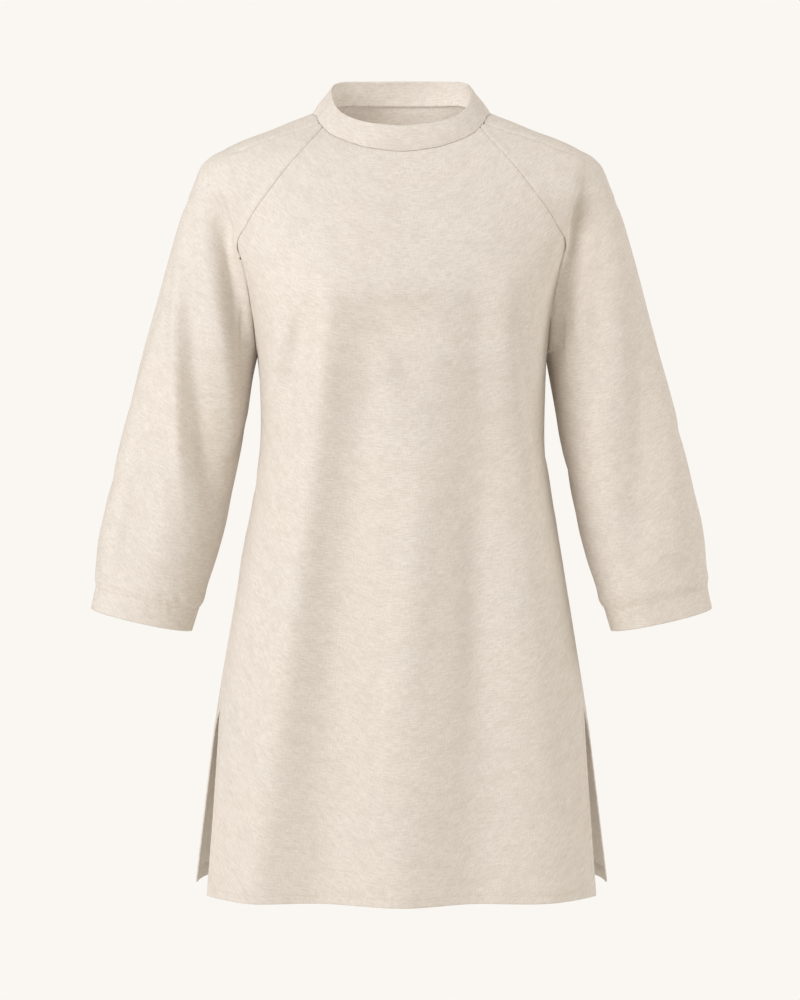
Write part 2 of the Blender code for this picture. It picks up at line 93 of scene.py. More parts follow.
# %% Helpers for materials
class Value:
    """A number that varies over a surface: sums with it add Math nodes to its material."""

    def __init__(self, recipe, socket):
        self.recipe, self.socket = recipe, socket

    def combined(self, operation, *values):
        node = self.recipe.add("ShaderNodeMath", {"operation": operation}, dict(enumerate(values)))
        return Value(self.recipe, node.outputs[0])

    def __add__(self, other):
        return self.combined("ADD", self, other)

    def __rsub__(self, other):
        return self.combined("SUBTRACT", other, self)

    def __mul__(self, other):
        return self.combined("MULTIPLY", self, other)

    def between(self, low, high):
        """0 where the value is low, 1 where it is high, and a soft rise between."""
        ranged = self.recipe.add(
            "ShaderNodeMapRange", {"interpolation_type": "SMOOTHSTEP"},
            {"Value": self, "From Min": low, "From Max": high},
        )
        return Value(self.recipe, ranged.outputs["Result"])


class Recipe:
    """The nodes of a material or a world under construction."""

    def __init__(self, owner, output="ShaderNodeOutputMaterial"):
        owner.use_nodes = True
        self.owner, self.tree = owner, owner.node_tree
        self.tree.nodes.clear()
        self.output = self.add(output)

    def finish(self, shader):
        self.join(shader.outputs[0], self.output.inputs["Surface"])

    def join(self, source, socket):
        if isinstance(source, Value):
            source = source.socket
        if isinstance(source, bpy.types.NodeSocket):
            self.tree.links.new(source, socket)
        else:
            socket.default_value = source

    def add(self, kind, settings=None, inputs=None):
        node = self.tree.nodes.new(kind)
        for name, setting in (settings or {}).items():
            setattr(node, name, setting)
        for name, source in (inputs or {}).items():
            self.join(source, node.inputs[name])
        return node

    def mix(self, factor, first, second):
        """A colour between two colours, which are sockets 6 and 7 of a Mix node."""
        node = self.add("ShaderNodeMix", {"data_type": "RGBA"}, {0: factor, 6: first, 7: second})
        return node.outputs[2]


print("material helpers ready")

# %% [markdown]
# ## Floor and background
#
# A garment shot for a catalogue floats in front of plain cream paper. A disc of pale floor lies
# well below the hem and takes a soft shadow. Towards its rim it fades into the same cream that the
# world shows to the camera, so no edge is seen from any side.

# %% Make the floor and the world
CREAM = (0.956, 0.930, 0.888, 1.0)
FLOOR_HEIGHT = -1.45
FLOOR_RADIUS = 1.9
FLOOR_SIDES = 96
FADE_START, FADE_END = 0.45, 1.5
WORLD_COLOUR = (1.0, 0.935, 0.835, 1.0)
WORLD_LIGHT = 0.54       # how strongly the plain surroundings light the cloth


def put_mesh(name, shape):
    """A finished bmesh as a new object in the scene."""
    mesh = bpy.data.meshes.new(name)
    shape.to_mesh(mesh)
    shape.free()
    return put(name, mesh)


shape = bmesh.new()
bmesh.ops.create_circle(shape, cap_ends=True, segments=FLOOR_SIDES, radius=FLOOR_RADIUS)
bmesh.ops.translate(shape, verts=shape.verts, vec=(0, 0, FLOOR_HEIGHT))
floor = put_mesh("floor", shape)

paper = Recipe(bpy.data.materials.new("cream_paper"))
spot = paper.add("ShaderNodeTexCoord").outputs["Object"]
level = paper.add("ShaderNodeVectorMath", {"operation": "MULTIPLY"}, {0: spot, 1: (1, 1, 0)})
radius = paper.add("ShaderNodeVectorMath", {"operation": "LENGTH"}, {0: level.outputs[0]})
faded = Value(paper, radius.outputs["Value"]).between(FADE_START, FADE_END)
seen = Value(paper, paper.add("ShaderNodeLightPath").outputs["Is Camera Ray"])
matt = paper.add("ShaderNodeBsdfDiffuse", None, {"Color": CREAM})
glow = paper.add("ShaderNodeEmission", None, {"Color": CREAM, "Strength": 1.0})
paper.finish(paper.add("ShaderNodeMixShader", None,
                       {0: faded * seen, 1: matt.outputs[0], 2: glow.outputs[0]}))
floor.data.materials.append(paper.owner)

world = bpy.data.worlds.new("studio")
bpy.context.scene.world = world
studio = Recipe(world, "ShaderNodeOutputWorld")
ray = studio.add("ShaderNodeLightPath").outputs["Is Camera Ray"]
lighting = studio.add("ShaderNodeBackground", None,
                      {"Color": WORLD_COLOUR, "Strength": WORLD_LIGHT})
shown = studio.add("ShaderNodeBackground", None, {"Color": CREAM})
studio.finish(studio.add("ShaderNodeMixShader", None,
                         {0: ray, 1: lighting.outputs[0], 2: shown.outputs[0]}))
print("floor at", FLOOR_HEIGHT, "m, world light", WORLD_LIGHT)

# %% [markdown]
# ## Lamps
#
# Folds in pale cloth only show when light comes from one side. A very large soft lamp stands at the
# upper left, in front, and gives each fold a bright and a shaded flank. A second one on the far
# right lights the sleeve there and keeps the shade open, and a tiny one inside the neck stands for
# the light that falls in from above. All are wide for their distance, so that no shadow has a hard
# edge.

# %% Set the lamps
Lamp = namedtuple("Lamp", "name place aim size power colour")
LAMP_AIM = Vector((0.0, 0.0, -0.40))
LAMPS = (
    Lamp("key", (-1.91, -2.20, 0.95), LAMP_AIM, 2.0, 66.0, (0.985, 1.0, 1.03)),
    Lamp("side", (3.05, -0.15, 0.72), LAMP_AIM, 1.4, 33.0, (1.0, 1.0, 1.0)),
    Lamp("neck", (0.0, -0.02, -0.10), Vector((0.0, 0.07, 0.0)), 0.08, 0.068, (1.0, 0.95, 0.89)),
)

for lamp in LAMPS:
    light = bpy.data.lights.new(lamp.name, "AREA")
    light.shape, light.size = "DISK", lamp.size
    light.energy, light.color = lamp.power, lamp.colour
    hung = put(lamp.name, light)
    aim(hung, lamp.place, lamp.aim)
    hung.visible_camera = False
    print(lamp.name, "lamp at", lamp.place)

# %% [markdown]
# ## The sizes of the tunic
#
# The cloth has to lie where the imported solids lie, so the tunic's sizes are repeated here: level
# sections of the body and of an arm, the seams as angles and heights, and the largest folds. All
# are in metres, from the centre of the neck, with the wearer's left at +X and the front at -Y. A
# table is rows of bare numbers under named columns.

# %% Sizes and sections
CLOTH = 0.0012           # one layer of cloth
SEAM_GAP = 0.0003        # left between two pieces that are sewn together
HEM = -0.829             # height of the tunic's lower edge
SLIT_TOP = -0.631        # height where the side seams end and the slits begin
UNDERARM = -0.258        # height where sleeve, front and back meet under the arm
SLEEVE_SLANT = 12.7      # degrees that a hanging sleeve leans away from the body
SLEEVE_HEM = 0.025       # depth of the turned hem of a sleeve
CUFF = -0.541            # height of the middle of a sleeve's open end
COLLAR_FRONT_ANGLE = 64  # where the front raglan seam leaves the neck, from the centre front
COLLAR_BACK_ANGLE = 124  # where the back raglan seam leaves the neck


def table(row, rows):
    """Rows of numbers with named columns."""
    return tuple(row(*numbers) for numbers in rows)


Section = namedtuple("Section", "height half_width front back side roundness")
BODY = table(Section, (
    (0.040, 0.040, -0.004, 0.045, 0.005, 2.0),
    (0.012, 0.074, -0.010, 0.065, 0.005, 2.0),
    (0.004, 0.084, -0.012, 0.069, 0.005, 2.0),
    (-0.001, 0.0935, -0.014, 0.072, 0.005, 2.0),
    (-0.010, 0.1170, -0.031, 0.077, 0.005, 2.0),
    (-0.020, 0.1410, -0.047, 0.082, 0.005, 2.0),
    (-0.030, 0.1680, -0.060, 0.086, 0.005, 2.0),
    (-0.038, 0.1850, -0.068, 0.089, 0.005, 2.05),
    (-0.047, 0.1985, -0.075, 0.092, 0.005, 2.1),
    (-0.061, 0.2070, -0.083, 0.096, 0.005, 2.2),
    (-0.085, 0.2070, -0.093, 0.102, 0.005, 2.3),
    (-0.115, 0.194, -0.105, 0.108, 0.005, 2.35),
    (-0.144, 0.182, -0.117, 0.113, 0.006, 2.4),
    (-0.200, 0.163, -0.131, 0.115, 0.007, 2.4),
    (-0.258, 0.154, -0.132, 0.110, 0.008, 2.4),
    (-0.295, 0.1516, -0.127, 0.106, 0.008, 2.4),
    (-0.338, 0.1500, -0.122, 0.104, 0.008, 2.4),
    (-0.402, 0.1573, -0.119, 0.108, 0.008, 2.45),
    (-0.488, 0.1725, -0.118, 0.115, 0.008, 2.5),
    (-0.640, 0.1985, -0.117, 0.126, 0.008, 2.55),
    (-0.829, 0.2238, -0.117, 0.138, 0.008, 2.6),
))
Arm = namedtuple("Arm", "height inner outer depth centre")
ARM = table(Arm, (
    (-0.036, 0.160, 0.164, 0.006, 0.003),
    (-0.048, 0.143, 0.188, 0.024, 0.003),
    (-0.061, 0.132, 0.2035, 0.038, 0.003),
    (-0.083, 0.122, 0.2185, 0.047, 0.003),
    (-0.104, 0.124, 0.2318, 0.051, 0.004),
    (-0.146, 0.132, 0.2453, 0.055, 0.005),
    (-0.200, 0.143, 0.2605, 0.058, 0.007),
    (-0.258, 0.154, 0.2775, 0.061, 0.008),
    (-0.338, 0.168, 0.298, 0.062, 0.008),
    (-0.423, 0.186, 0.3173, 0.058, 0.003),
    (-0.466, 0.197, 0.3246, 0.053, -0.001),
    (-0.500, 0.2065, 0.3266, 0.047, -0.003),
    (-0.529, 0.2170, 0.3325, 0.0435, -0.005),
    (-0.565, 0.2280, 0.3385, 0.0415, -0.006),
))
Blend = namedtuple("Blend", "height softness")
BLEND = table(Blend, (
    (-0.036, 0.006),
    (-0.050, 0.036),
    (-0.085, 0.040),
    (-0.100, 0.030),
    (-0.144, 0.014),
    (-0.200, 0.005),
    (-0.258, 0.0002),
))
print(len(BODY), "body sections,", len(ARM), "arm sections")

# %% [markdown]
# ## The seams and the largest folds
#
# A raglan sleeve runs up to the neck, so its seams are drawn as a distance from the centre at each
# height. Side seams, slits and the neck go by their angle from the centre front. The largest folds
# fall from the bust to the hem: each is a line down the cloth that grows stronger as it goes.

# %% Seams and folds
Raglan = namedtuple("Raglan", "height front back")
RAGLAN = table(Raglan, (
    (0.0108, 0.0640, 0.0579),
    (-0.0189, 0.0826, 0.0860),
    (-0.0470, 0.1059, 0.1080),
    (-0.0670, 0.1225, 0.1215),
    (-0.0874, 0.1377, 0.1345),
    (-0.1053, 0.1511, 0.1445),
    (-0.1213, 0.1612, 0.1527),
    (-0.1400, 0.1675, 0.1600),
))
SideSeam = namedtuple("SideSeam", "height angle")
SIDE_SEAM = table(SideSeam, (
    (UNDERARM, 90.0),
    (-0.400, 85.0),
    (SLIT_TOP, 78.8),
))
Slit = namedtuple("Slit", "height front back")
SLIT = table(Slit, (
    (SLIT_TOP, 78.8, 78.8),
    (-0.667, 76.1, 86.0),
    (-0.705, 74.5, 89.5),
    (-0.760, 73.2, 91.5),
    (HEM, 72.2, 93.0),
))
Neck = namedtuple("Neck", "angle seam top")
NECK = table(Neck, (
    (0, -0.0471, -0.0196),
    (24, -0.0431, -0.0165),
    (36, -0.0380, -0.0125),
    (50, -0.0297, -0.0055),
    (64, -0.0189, 0.0043),
    (72, -0.0125, 0.0110),
    (82, -0.0052, 0.0185),
    (90, -0.0010, 0.0235),
    (105, 0.0062, 0.0315),
    (124, 0.0108, 0.0360),
    (180, 0.0120, 0.0380),
))
COLLAR_TOP = Section(0.0235, 0.0743, -0.070, 0.060, 0.005, 2.4)
COLLAR_BULGE = 0.0015    # how far the middle of the collar stands out

Fold = namedtuple("Fold", "face upper lower x_upper x_lower bow "
                          "spread_upper spread_lower rise_upper rise_lower")
FRONT, BACK = -1, 1
FOLDS = table(Fold, (
    (FRONT, -0.235, HEM, -0.078, -0.158, 0.001, 0.020, 0.028, 0.0090, 0.0110),
    (FRONT, -0.240, HEM, -0.028, -0.086, -0.006, 0.026, 0.036, -0.0080, -0.0130),
    (FRONT, -0.230, HEM, 0.032, 0.001, -0.003, 0.021, 0.036, 0.0010, 0.0115),
    (FRONT, -0.250, HEM, 0.075, 0.079, 0.002, 0.026, 0.035, -0.0080, -0.0125),
    (FRONT, -0.220, HEM, 0.113, 0.156, 0.003, 0.027, 0.030, 0.0090, 0.0070),
    (BACK, -0.330, HEM, -0.085, -0.140, -0.006, 0.022, 0.032, 0.0025, 0.0115),
    (BACK, -0.250, HEM, -0.040, -0.062, 0.006, 0.018, 0.027, -0.0030, -0.0100),
    (BACK, -0.310, HEM, 0.004, 0.012, -0.004, 0.020, 0.030, 0.0030, 0.0095),
    (BACK, -0.280, HEM, 0.052, 0.078, 0.008, 0.016, 0.025, -0.0025, -0.0090),
    (BACK, -0.340, HEM, 0.096, 0.142, 0.005, 0.020, 0.031, 0.0030, 0.0120),
    (BACK, -0.130, -0.300, 0.205, 0.196, 0.004, 0.011, 0.011, -0.0030, -0.0030),
    (BACK, -0.280, -0.450, -0.236, -0.250, 0.003, 0.012, 0.012, -0.0030, -0.0020),
))
FOLD_TURN = 0.030        # depth over which a fold fades from one face to the other
FOLD_FADE = 0.050        # height over which a fold fades in and out
print(len(FOLDS), "large folds")

# %% [markdown]
# ## Reading a table smoothly
#
# A table gives the shape at a few heights only. A curve through its rows that never overshoots
# keeps the cloth from bulging between them. Its bends are still a little sudden at each row, which
# shows as faint bands on pale cloth, so each column is also averaged over a short height.

# %% Smooth readers
SOFTENING = 0.014        # below the chest, heights this far up and down are averaged
SHOULDER_SOFTENING = 0.002   # over the shoulders, where the shape changes fast
CHEST_TOP, CHEST_SPAN = -0.080, 0.080    # where the one goes over into the other
SAMPLES = 11             # heights that are averaged, with less weight on the outer ones
WINDOW = 2.2             # how wide the arch of their weights is, where 2 would end at nought
LEVELS = np.linspace(-0.90, 0.07, 3881)


def through(rows, column, level_ends=False):
    """A smooth function through one column of a table, by its first column, with no overshoot."""
    rows = sorted(rows)
    knots = np.array([row[0] for row in rows], dtype=float)
    values = np.array([getattr(row, column) for row in rows], dtype=float)
    steps = np.diff(knots)
    slopes = np.diff(values) / steps
    before, after = slopes[:-1], slopes[1:]
    same_way = before * after > 0
    total = np.where(same_way, before + after, 1.0)
    inner = np.where(same_way, 2 * before * after / total, 0.0)
    first, last = (0.0, 0.0) if level_ends else (slopes[0], slopes[-1])
    tangents = np.concatenate(([first], inner, [last]))

    def value(place):
        place = np.clip(place, knots[0], knots[-1])
        index = np.clip(np.searchsorted(knots, place) - 1, 0, len(steps) - 1)
        step = steps[index]
        u = (place - knots[index]) / step
        rise = values[index + 1] - values[index]
        start, end = tangents[index] * step, tangents[index + 1] * step
        curve = start + u * (3 * rise - 2 * start - end + u * (start + end - 2 * rise))
        return values[index] + u * curve

    return value


def softened(rows, column):
    """A table's column by height, averaged over a little height."""
    read = through(rows, column)
    shifts = np.linspace(-1, 1, SAMPLES)
    weights = np.cos(shifts * np.pi / WINDOW) ** 2
    below_chest = smooth_step((CHEST_TOP - LEVELS) / CHEST_SPAN)
    reach = SHOULDER_SOFTENING + (SOFTENING - SHOULDER_SOFTENING) * below_chest
    values = sum(weight * read(LEVELS + reach * shift) for shift, weight in zip(shifts, weights))
    values = values / weights.sum()
    return lambda height: np.interp(height, LEVELS, values)


def smooth_step(value):
    """0 below 0, 1 above 1, and a soft rise between."""
    value = np.clip(value, 0, 1)
    return value * value * (3 - 2 * value)


def bell(distance, reach):
    """1 at no distance and a soft fall to both sides, nearly to 0 at twice the reach."""
    return np.exp(-((distance / reach) ** 2))


BODY_AT = {name: softened(BODY, name) for name in Section._fields[1:]}
ARM_AT = {name: softened(ARM, name) for name in Arm._fields[1:]}
softness_at = through(BLEND, "softness")
print("half width at the waist:", round(float(BODY_AT["half_width"](-0.338)), 4), "m")

# %% [markdown]
# ## The outer form
#
# Body and arms are rounded columns. A point's gap is how far it lies outside a column, and the form
# is where the smaller gap is nought. Where the two gaps are nearly equal they melt together, softly
# over the shoulder and hardly at all at the armpit, where real sleeves meet the body in a crease.

# %% Gaps to the form
NEARLY_ZERO = 1e-9
CREASE_TOP = -0.150      # below this height each piece keeps to its own side of the armpit's crease


def oval_gap(across, along, half_width, depth, roundness):
    """How far points lie outside a rounded oval, along the line from its centre."""
    across = np.abs(across) + NEARLY_ZERO
    share = (across / half_width) ** roundness + (np.abs(along) / depth) ** roundness
    return np.hypot(across, along) * (1 - share ** (-1 / roundness))


def body_gap(points):
    """How far points lie outside the body column."""
    across, along, height = points[..., 0], points[..., 1], points[..., 2]
    size = {name: read(height) for name, read in BODY_AT.items()}
    along = along - size["side"]
    depth = np.where(along < 0, size["side"] - size["front"], size["back"] - size["side"])
    return oval_gap(across, along, size["half_width"], depth, size["roundness"])


def arm_gap(points):
    """How far points lie outside the arm column on their own side."""
    across, along, height = np.abs(points[..., 0]), points[..., 1], points[..., 2]
    size = {name: read(height) for name, read in ARM_AT.items()}
    middle = (size["inner"] + size["outer"]) / 2
    half_width = (size["outer"] - size["inner"]) / 2
    above = np.clip(height - ARM[0].height, 0, None)
    gap = oval_gap(across - middle, along - size["centre"], half_width, size["depth"], 2)
    return gap + 2 * above


def fold_rise(points):
    """How far the large folds lift the cloth at points; negative in a trough."""
    across, along, height = points[..., 0], points[..., 1], points[..., 2]
    rise = np.zeros(height.shape)
    for fold in FOLDS:
        way = np.clip((fold.upper - height) / (fold.upper - fold.lower), 0, 1)
        line = fold.x_upper + (fold.x_lower - fold.x_upper) * way + fold.bow * 4 * way * (1 - way)
        past_end = np.maximum(height - fold.upper, fold.lower - height).clip(0)
        strength = fold.rise_upper + (fold.rise_lower - fold.rise_upper) * way
        strength = strength * bell(past_end, FOLD_FADE)
        strength = strength * smooth_step(0.5 + fold.face * along / FOLD_TURN)
        spread = fold.spread_upper + (fold.spread_lower - fold.spread_upper) * way
        rise += strength * bell(across - line, spread)
    return rise


def sleeve_gap(points):
    """How far points lie outside a hanging sleeve."""
    return arm_gap(points) - fold_rise(points)


def blended(own, other, points):
    """One column's gap with its share of the soft union and the folds."""
    softness = softness_at(points[..., 2])
    shared = np.clip(softness - np.abs(own - other), 0, None)
    return own - shared ** 2 / (4 * softness) - fold_rise(points)


def form_gap(points):
    """How far points lie outside the tunic's outer form."""
    body, arm = body_gap(points), arm_gap(points)
    return blended(np.minimum(body, arm), np.maximum(body, arm), points)


def panel_gap(points):
    """How far points lie outside the body's own part of the form."""
    return blended(body_gap(points), arm_gap(points), points)


def cap_gap(points):
    """How far points lie outside the form, and beside the crease outside the arm's own part."""
    body, arm = body_gap(points), arm_gap(points)
    own = np.where(points[..., 2] < CREASE_TOP, arm, np.minimum(body, arm))
    return blended(own, np.where(own == arm, body, arm), points)


print("gap at the centre of the chest:", round(float(form_gap(np.array([0.0, 0.0, -0.2]))), 4), "m")

# %% [markdown]
# ## Finding cloth on the form
#
# A point of the cloth is found by walking straight out from a place inside the garment until the
# gap turns positive, and then halving the last step until it is exact. This is done for a whole
# grid of points at once.

# %% Walk out to the form
REACH = 0.32             # no point of the form is further than this from where it is sought
SEARCH_STEPS = 64
HALVINGS = 24


def outward(origins, directions, gap=form_gap):
    """The first points of a form on straight ways out from places inside it."""
    origins, directions = np.broadcast_arrays(origins, directions)
    directions = directions / np.linalg.norm(directions, axis=-1, keepdims=True)
    steps = np.linspace(0, REACH, SEARCH_STEPS)
    outside = np.stack([gap(origins + step * directions) > 0 for step in steps])
    first = np.maximum(np.argmax(outside, axis=0), 1)
    low, high = steps[first - 1], steps[first]
    for _ in range(HALVINGS):
        middle = (low + high) / 2
        is_outside = gap(origins + middle[..., None] * directions) > 0
        low = np.where(is_outside, low, middle)
        high = np.where(is_outside, middle, high)
    return origins + middle[..., None] * directions


def places(x, y, z):
    """Points from their coordinates."""
    return np.stack(np.broadcast_arrays(x, y, z), axis=-1).astype(float)


def round_body(angle, height, gap=form_gap):
    """Points of the form by angle from the centre front, seen from the body's axis, and height."""
    turn = np.radians(angle)
    origins = places(0, BODY_AT["side"](height), height)
    return outward(origins, places(np.sin(turn), -np.cos(turn), 0 * turn), gap)


print("centre front at the waist:", round_body(np.array([0.0]), np.array([-0.338]))[0].round(4))

# %% [markdown]
# ## Where the lines of a grid go
#
# Soft cloth needs an even grid of two to three millimetres, but its edges need more: a seam rolls
# in within two millimetres and a hem is rounded within one. So each grid has a few extra lines
# crowded at its edges, given as distances in metres from each end of a line.

# %% Spacing helpers
NEAR_SEAM = (0.0008, 0.0018, 0.0032, 0.0055, 0.009)   # metres from an edge


def crowded(length, count, start=NEAR_SEAM, end=NEAR_SEAM):
    """Shares from 0 to 1 for a line of this length, with extra ones at these distances."""
    near, far = np.array(start) / length, 1 - np.array(end)[::-1] / length
    low = near[-1] if len(near) else 0.0
    high = far[0] if len(far) else 1.0
    even = np.linspace(low, high, count + 1)
    whole = np.concatenate(([0.0], near, even, far, [1.0]))
    return np.unique(whole.round(9))


def spread_out(line, shares):
    """A line of points drawn again at these shares of its length."""
    lengths = np.linalg.norm(np.diff(line, axis=0), axis=1)
    walked = np.concatenate(([0], np.cumsum(lengths)))
    places_on = shares * walked[-1]
    return np.stack([np.interp(places_on, walked, line[:, axis]) for axis in range(3)], axis=1)


ARMHOLE_ROWS = crowded(length=0.30, count=96, end=())
SIDE_ROWS = np.linspace(0, 1, 111)[1:]
PANEL_COLUMNS = crowded(length=0.36, count=166)
HALF_SLEEVE = crowded(length=0.17, count=80, end=())
SLEEVE_COLUMNS = np.concatenate((HALF_SLEEVE, 2 - HALF_SLEEVE[::-1][1:])) / 2
print("panel columns:", len(PANEL_COLUMNS), " sleeve columns:", len(SLEEVE_COLUMNS))

# %% [markdown]
# ## Seam lines
#
# Neighbouring pieces have to share their seam exactly, so each seam is worked out once as a line on
# the form. The raglan seams leave the neck, run down the drawn line and end in the armpit's crease,
# which is found as the place where body and arm gaps are equal.

# %% Draw the seams on the form
NECK_EASE = 0.020        # height over which a raglan seam leaves its point on the neck seam
CREASE_EASE = 0.030      # height over which it joins the armpit's crease
CREASE_NEAR, CREASE_FAR = 0.130, 0.215   # the crease is between these distances from the middle
SEAM_POINTS = 240        # points of a seam before it is spread out


def off_front(angles):
    """Angles from the centre front to either side, up to 180."""
    return np.degrees(np.arccos(np.clip(np.cos(np.radians(angles)), -1, 1)))


neck_seam_height = through(NECK, "seam", level_ends=True)
neck_top_height = through(NECK, "top", level_ends=True)


def neck_seam(angles):
    """Points of the neck seam, by angle from the centre front."""
    return round_body(angles, neck_seam_height(off_front(angles)))


def crease(heights, face, side):
    """How far out body and arm meet at the armpit, on the front or the back."""
    near, far = np.full(heights.shape, CREASE_NEAR), np.full(heights.shape, CREASE_FAR)
    for _ in range(HALVINGS):
        across = side * (near + far) / 2
        origins = places(across, BODY_AT["side"](heights), heights)
        points = outward(origins, np.array([0.0, face, 0.0]))
        on_arm = body_gap(points) > arm_gap(points)
        far = np.where(on_arm, np.abs(across), far)
        near = np.where(on_arm, near, np.abs(across))
    return np.abs(across)


def underarm_point(side):
    """The point where sleeve, front and back meet under the arm."""
    return places(side * BODY_AT["half_width"](UNDERARM), BODY_AT["side"](UNDERARM), UNDERARM)


@lru_cache
def raglan_seam(face, side):
    """A raglan seam from the neck to the underarm."""
    angle = COLLAR_FRONT_ANGLE if face == FRONT else COLLAR_BACK_ANGLE
    start = neck_seam(np.array([side * float(angle)]))
    heights = np.linspace(start[0, 2], UNDERARM, SEAM_POINTS)[1:-1]
    column = "front" if face == FRONT else "back"
    drawn = through(RAGLAN, column)(heights)
    creased = crease(heights, face, side)
    lowering = smooth_step((RAGLAN[-2].height - heights) / CREASE_EASE)
    missed = np.abs(start[0, 0]) - through(RAGLAN, column)(start[0, 2])
    drawn += missed * (1 - smooth_step((start[0, 2] - heights) / NECK_EASE))
    across = drawn + (creased - drawn) * lowering
    origins = places(side * across, BODY_AT["side"](heights), heights)
    seam = outward(origins, np.array([0.0, face, 0.0]))
    return spread_out(np.concatenate((start, seam, underarm_point(side)[None])), ARMHOLE_ROWS)


for face in (FRONT, BACK):
    for side in (1, -1):
        seam = raglan_seam(face, side)
        walk = np.linalg.norm(np.diff(seam, axis=0), axis=1).sum()
        print("raglan seam", face, side, "is", round(float(walk), 3), "m long")

# %% [markdown]
# ## The grids of the front and the back
#
# A panel is one piece of cloth from the neck to the hem. Its two edges are the raglan seam, the
# side seam and the slit, one below the other, and each row of its grid runs between them over the
# form. The rows near the top dip with the neck seam and are level from the underarm down.

# %% Panel grids
BODY_HEM = {FRONT: 0.010, BACK: 0.013}   # depth of the turned hem of each panel
STEP = 0.0006            # an inner hem edge steps up over this height
SLIT_ROWS = 61           # rows beside a slit, above the turned hem
NEAR_HEM = (0.0003, 0.0008, 0.0016, 0.0030, 0.0050, 0.0070)


def slit_rows(face):
    """Heights of the rows beside a slit, down to the hem's edge."""
    turned = HEM + BODY_HEM[face]
    above = np.linspace(SLIT_TOP, turned + STEP, SLIT_ROWS + 1)[1:]
    return np.concatenate((above, [turned], HEM + np.array(NEAR_HEM)[::-1], [HEM]))


def side_edge(face, side):
    """A panel's edge from the neck to the hem: raglan seam, side seam and slit."""
    seam = UNDERARM + (SLIT_TOP - UNDERARM) * SIDE_ROWS
    slit = slit_rows(face)
    seam_angles = through(SIDE_SEAM, "angle")(seam)
    slit_angles = through(SLIT, "front" if face == FRONT else "back")(slit)
    angles = side * np.concatenate((seam_angles, slit_angles))
    below = round_body(angles, np.concatenate((seam, slit)), panel_gap)
    return np.concatenate((raglan_seam(face, side), below))


def turn_from_middle(edge, face):
    """The angles of an edge's points from the middle of its panel, seen from the body's axis."""
    along = edge[:, 1] - BODY_AT["side"](edge[:, 2])
    return np.arctan2(-face * edge[:, 0], face * along)


def panel_grid(face):
    """The grid of the front or the back, from its top row down."""
    first, last = side_edge(face, face), side_edge(face, -face)
    across = PANEL_COLUMNS
    first_turn, last_turn = turn_from_middle(first, face), turn_from_middle(last, face)
    turns = first_turn[:, None] * (1 - across) + last_turn[:, None] * across
    heights = first[:, 2, None] * (1 - across) + last[:, 2, None] * across
    from_front = np.abs(np.degrees(turns[0]))
    if face == BACK:
        from_front = 180 - from_front
    dip = neck_seam_height(from_front) - heights[0]
    below_neck = smooth_step((heights[0] - heights) / (heights[0] - UNDERARM))
    heights = heights + dip * (1 - below_neck)
    origins = places(0, BODY_AT["side"](heights), heights)
    ways = places(-face * np.sin(turns), face * np.cos(turns), 0 * turns)
    grid = outward(origins, ways, panel_gap)
    grid[:, 0], grid[:, -1] = first, last
    return grid


PANELS = {face: panel_grid(face) for face in (FRONT, BACK)}
for face, grid in PANELS.items():
    lowest = grid.reshape(-1, 3).min(axis=0).round(3)
    print("panel", face, "grid", grid.shape[:2], "reaches", lowest)

# %% [markdown]
# ## The grids of the sleeves
#
# A raglan sleeve is one piece: a tube below the underarm, and above it a cap that narrows to a
# strip along the neck. The tube is a stack of slanted rings. The cap is filled in between its two
# raglan seams, its first ring and the neck, and then pushed out onto the form.

# %% Sleeve grids
SHOULDER_DROP = 0.050    # how far inside the shoulder the cap is seen from
TUBE_ROWS = 88
BAND_ROWS = 4            # rows of a sleeve's hem between its upper and its lower ones
BAND_TOP, BAND_MIDDLE = 0.002, 0.004     # how far the first rows are below its upper edge
BAND_LOW = 0.009         # how far the last one is above its lower edge


def sleeve_loop(side, middle_height):
    """One ring of a hanging sleeve, from its inner side round the front and the back."""
    slant = np.radians(SLEEVE_SLANT)
    turns = -np.pi + 2 * np.pi * SLEEVE_COLUMNS
    across = (ARM_AT["inner"](middle_height) + ARM_AT["outer"](middle_height)) / 2
    middle = places(side * across, ARM_AT["centre"](middle_height), middle_height)
    out = np.cos(turns)
    ways = places(side * out * np.cos(slant), np.sin(turns), out * np.sin(slant))
    return outward(middle, ways, sleeve_gap)


def filled(left, right, top, bottom, down, along):
    """A grid filled in between four edges that meet at the corners."""
    down, along = down[:, None, None], along[None, :, None]
    sides = left[:, None] * (1 - along) + right[:, None] * along
    ends = top[None] * (1 - down) + bottom[None] * down
    upper = left[0] * (1 - along) + right[0] * along
    lower = left[-1] * (1 - along) + right[-1] * along
    return sides + ends - upper * (1 - down) - lower * down


